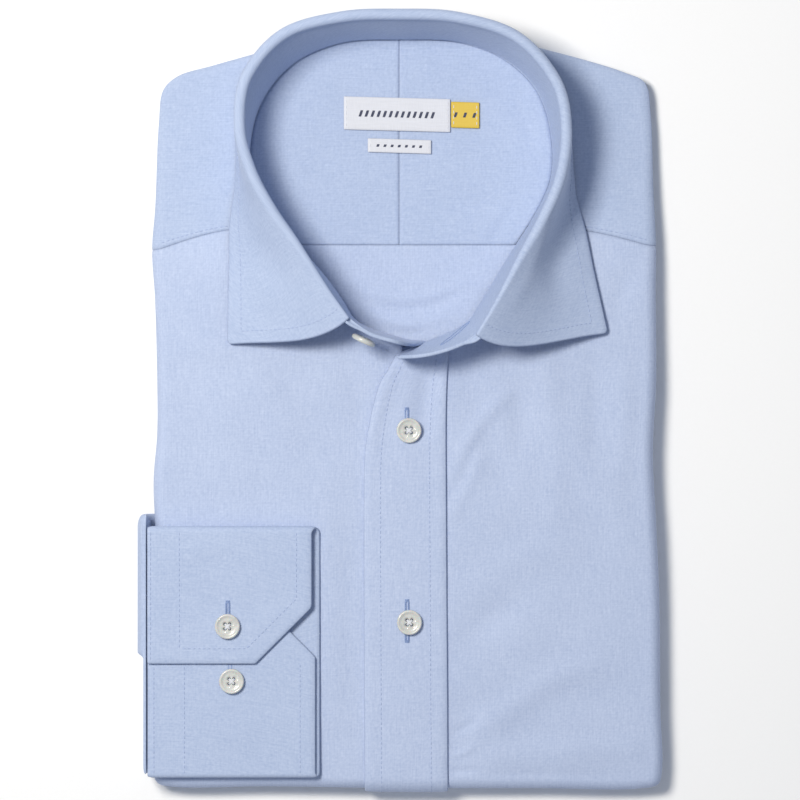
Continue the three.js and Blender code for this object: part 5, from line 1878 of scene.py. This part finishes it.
    def build(self) -> None:
        """Make, place and sew every button and buttonhole."""
        blank = self.blank()
        needle = Seamstress()
        for seat in self.seats():
            axes = self.frame_of(seat)
            mesh = blank.data.copy()
            count = len(mesh.vertices)
            points = np.empty(count * 3)
            mesh.vertices.foreach_get("co", points)
            placed = points.reshape(-1, 3) @ axes.T + np.array(seat.middle) * MM
            mesh.vertices.foreach_set("co", placed.ravel())
            mesh.update()
            made = bpy.data.objects.new("shirt_" + seat.node, mesh)
            bpy.context.scene.collection.objects.link(made)
            self.room.keep(made, self.room.finishes.pearl, Slot.BUTTON, [seat.node])
            self.thread(seat, needle)
        bpy.data.objects.remove(blank)
        self.room.keep(needle.joined("button_threads"), self.room.finishes.button_thread, Slot.WHITE)
        self.buttonholes()

    def buttonholes(self) -> None:
        """Work the buttonholes of the placket and the cuff."""
        needle = Seamstress()
        up, along = np.array([0.0, 0.0, 1.0]), np.array([0.0, 1.0, 0.0])
        close = Stitch(length=1.1, pitch=0.42, radius=0.2, lift=0.04)
        for x, y in self.front_places.rows:
            middle = (x - 1.0, y + 0.6)
            ground = float(self.form.base(np.array([middle[0]]), np.array([middle[1]]))[0])
            z = ground + self.body.placket_lift
            needle.satin(np.array([*middle, z]), along, up, 17.5, close)
        places = ((-77.3, -98.4, 3, 15.0), (-76.4, -121.6, 2, 7.0))
        for x, y, layer, length in places:
            needle.satin(np.array([x, y, self.cuff.layer_top(layer)]), along, up, length, close)
        self.room.keep(needle.joined("buttonholes"), self.room.finishes.buttonhole_thread, Slot.SHIRTING)


# The studio


@dataclass(frozen=True)
class Lamp:
    """A square soft light: its place and side in metres, its power in watts and its tint."""

    name: str
    place: tuple[float, float, float]
    side: float
    power: float
    tint: Colour


@dataclass
class Studio:
    """A plain pale floor, soft light from the upper left and a camera straight above."""

    floor_size: float = 6.0
    floor_drop: float = 0.0003
    frame_width: float = 0.360
    camera_height: float = 2.4
    middle: Pair = (-0.00013, 0.0)
    shirt_level: float = 0.016
    lens: float = 100.0
    lamps: tuple[Lamp, ...] = (
        Lamp("key", (-0.49, 0.325, 1.25), 0.36, 16.4, (1.05, 1.01, 0.93)),
        Lamp("fill", (0.6, -0.9, 1.8), 1.6, 1.6, (1.0, 1.0, 1.0)),
    )
    world_strength: float = 0.28
    world_tint: Colour = (0.88, 0.98, 1.18)

    def lay_floor(self) -> None:
        """Lay the floor just under the shirt."""
        half, z = self.floor_size / 2, -self.floor_drop
        mesh = bpy.data.meshes.new("floor")
        corners = [(-half, -half, z), (half, -half, z), (half, half, z), (-half, half, z)]
        mesh.from_pydata(corners, [], [(0, 1, 2, 3)])
        floor = bpy.data.objects.new("floor", mesh)
        bpy.context.scene.collection.objects.link(floor)
        mesh.materials.append(StudioWhite("studio_white").material())

    def hang_light(self, lamp: Lamp) -> None:
        """Hang a lamp so that it faces the shirt."""
        data = bpy.data.lights.new(lamp.name, "AREA")
        data.shape, data.size, data.energy, data.color = "SQUARE", lamp.side, lamp.power, lamp.tint
        hung = bpy.data.objects.new(lamp.name, data)
        hung.location = lamp.place
        hung.rotation_euler = self.facing(-np.array(lamp.place))
        bpy.context.scene.collection.objects.link(hung)

    def facing(self, direction: Array) -> tuple[float, float, float]:
        """Return the turn that points a lamp's back axis away from a direction."""
        x, y, z = direction / np.linalg.norm(direction)
        tip = float(np.arccos(-z))
        turn = float(np.arctan2(y, x)) - np.pi / 2
        return (tip, 0.0, turn)

    def set_world(self) -> None:
        """Fill the room with even light."""
        world = bpy.data.worlds.new("studio")
        world.use_nodes = True
        background = world.node_tree.nodes["Background"]
        background.inputs["Color"].default_value = (*self.world_tint, 1.0)
        background.inputs["Strength"].default_value = self.world_strength
        bpy.context.scene.world = world

    def set_camera(self) -> None:
        """Look straight down on the middle of the picture."""
        data = bpy.data.cameras.new("camera")
        data.lens = self.lens
        data.sensor_width = self.lens * self.frame_width / (self.camera_height - self.shirt_level)
        data.clip_end = 20.0
        camera = bpy.data.objects.new("camera", data)
        camera.location = (*self.middle, self.camera_height)
        bpy.context.scene.collection.objects.link(camera)
        bpy.context.scene.camera = camera

    def build(self) -> None:
        """Set up the studio."""
        self.lay_floor()
        for lamp in self.lamps:
            self.hang_light(lamp)
        self.set_world()
        self.set_camera()
        bpy.context.scene.view_settings.view_transform = "Standard"


def main() -> None:
    """Build the shirt piece by piece, then the studio round it."""
    logging.basicConfig(level=logging.INFO, format="%(name)s: %(message)s")
    room = Workroom(Finishes())
    form = FoldedForm()
    collar = Collar(room, form)
    body = Body(room, form, collar.neck_seam())
    cuff = Cuff(room, form)
    body.build()
    NeckInside(room, form, body).build()
    collar.build()
    cuff.build()
    Sleeve(room).build()
    Buttons(room, form, body, cuff).build()
    Studio().build()
    log.info("%d pieces made", len(room.pieces))


if __name__ == "__main__":
    main()
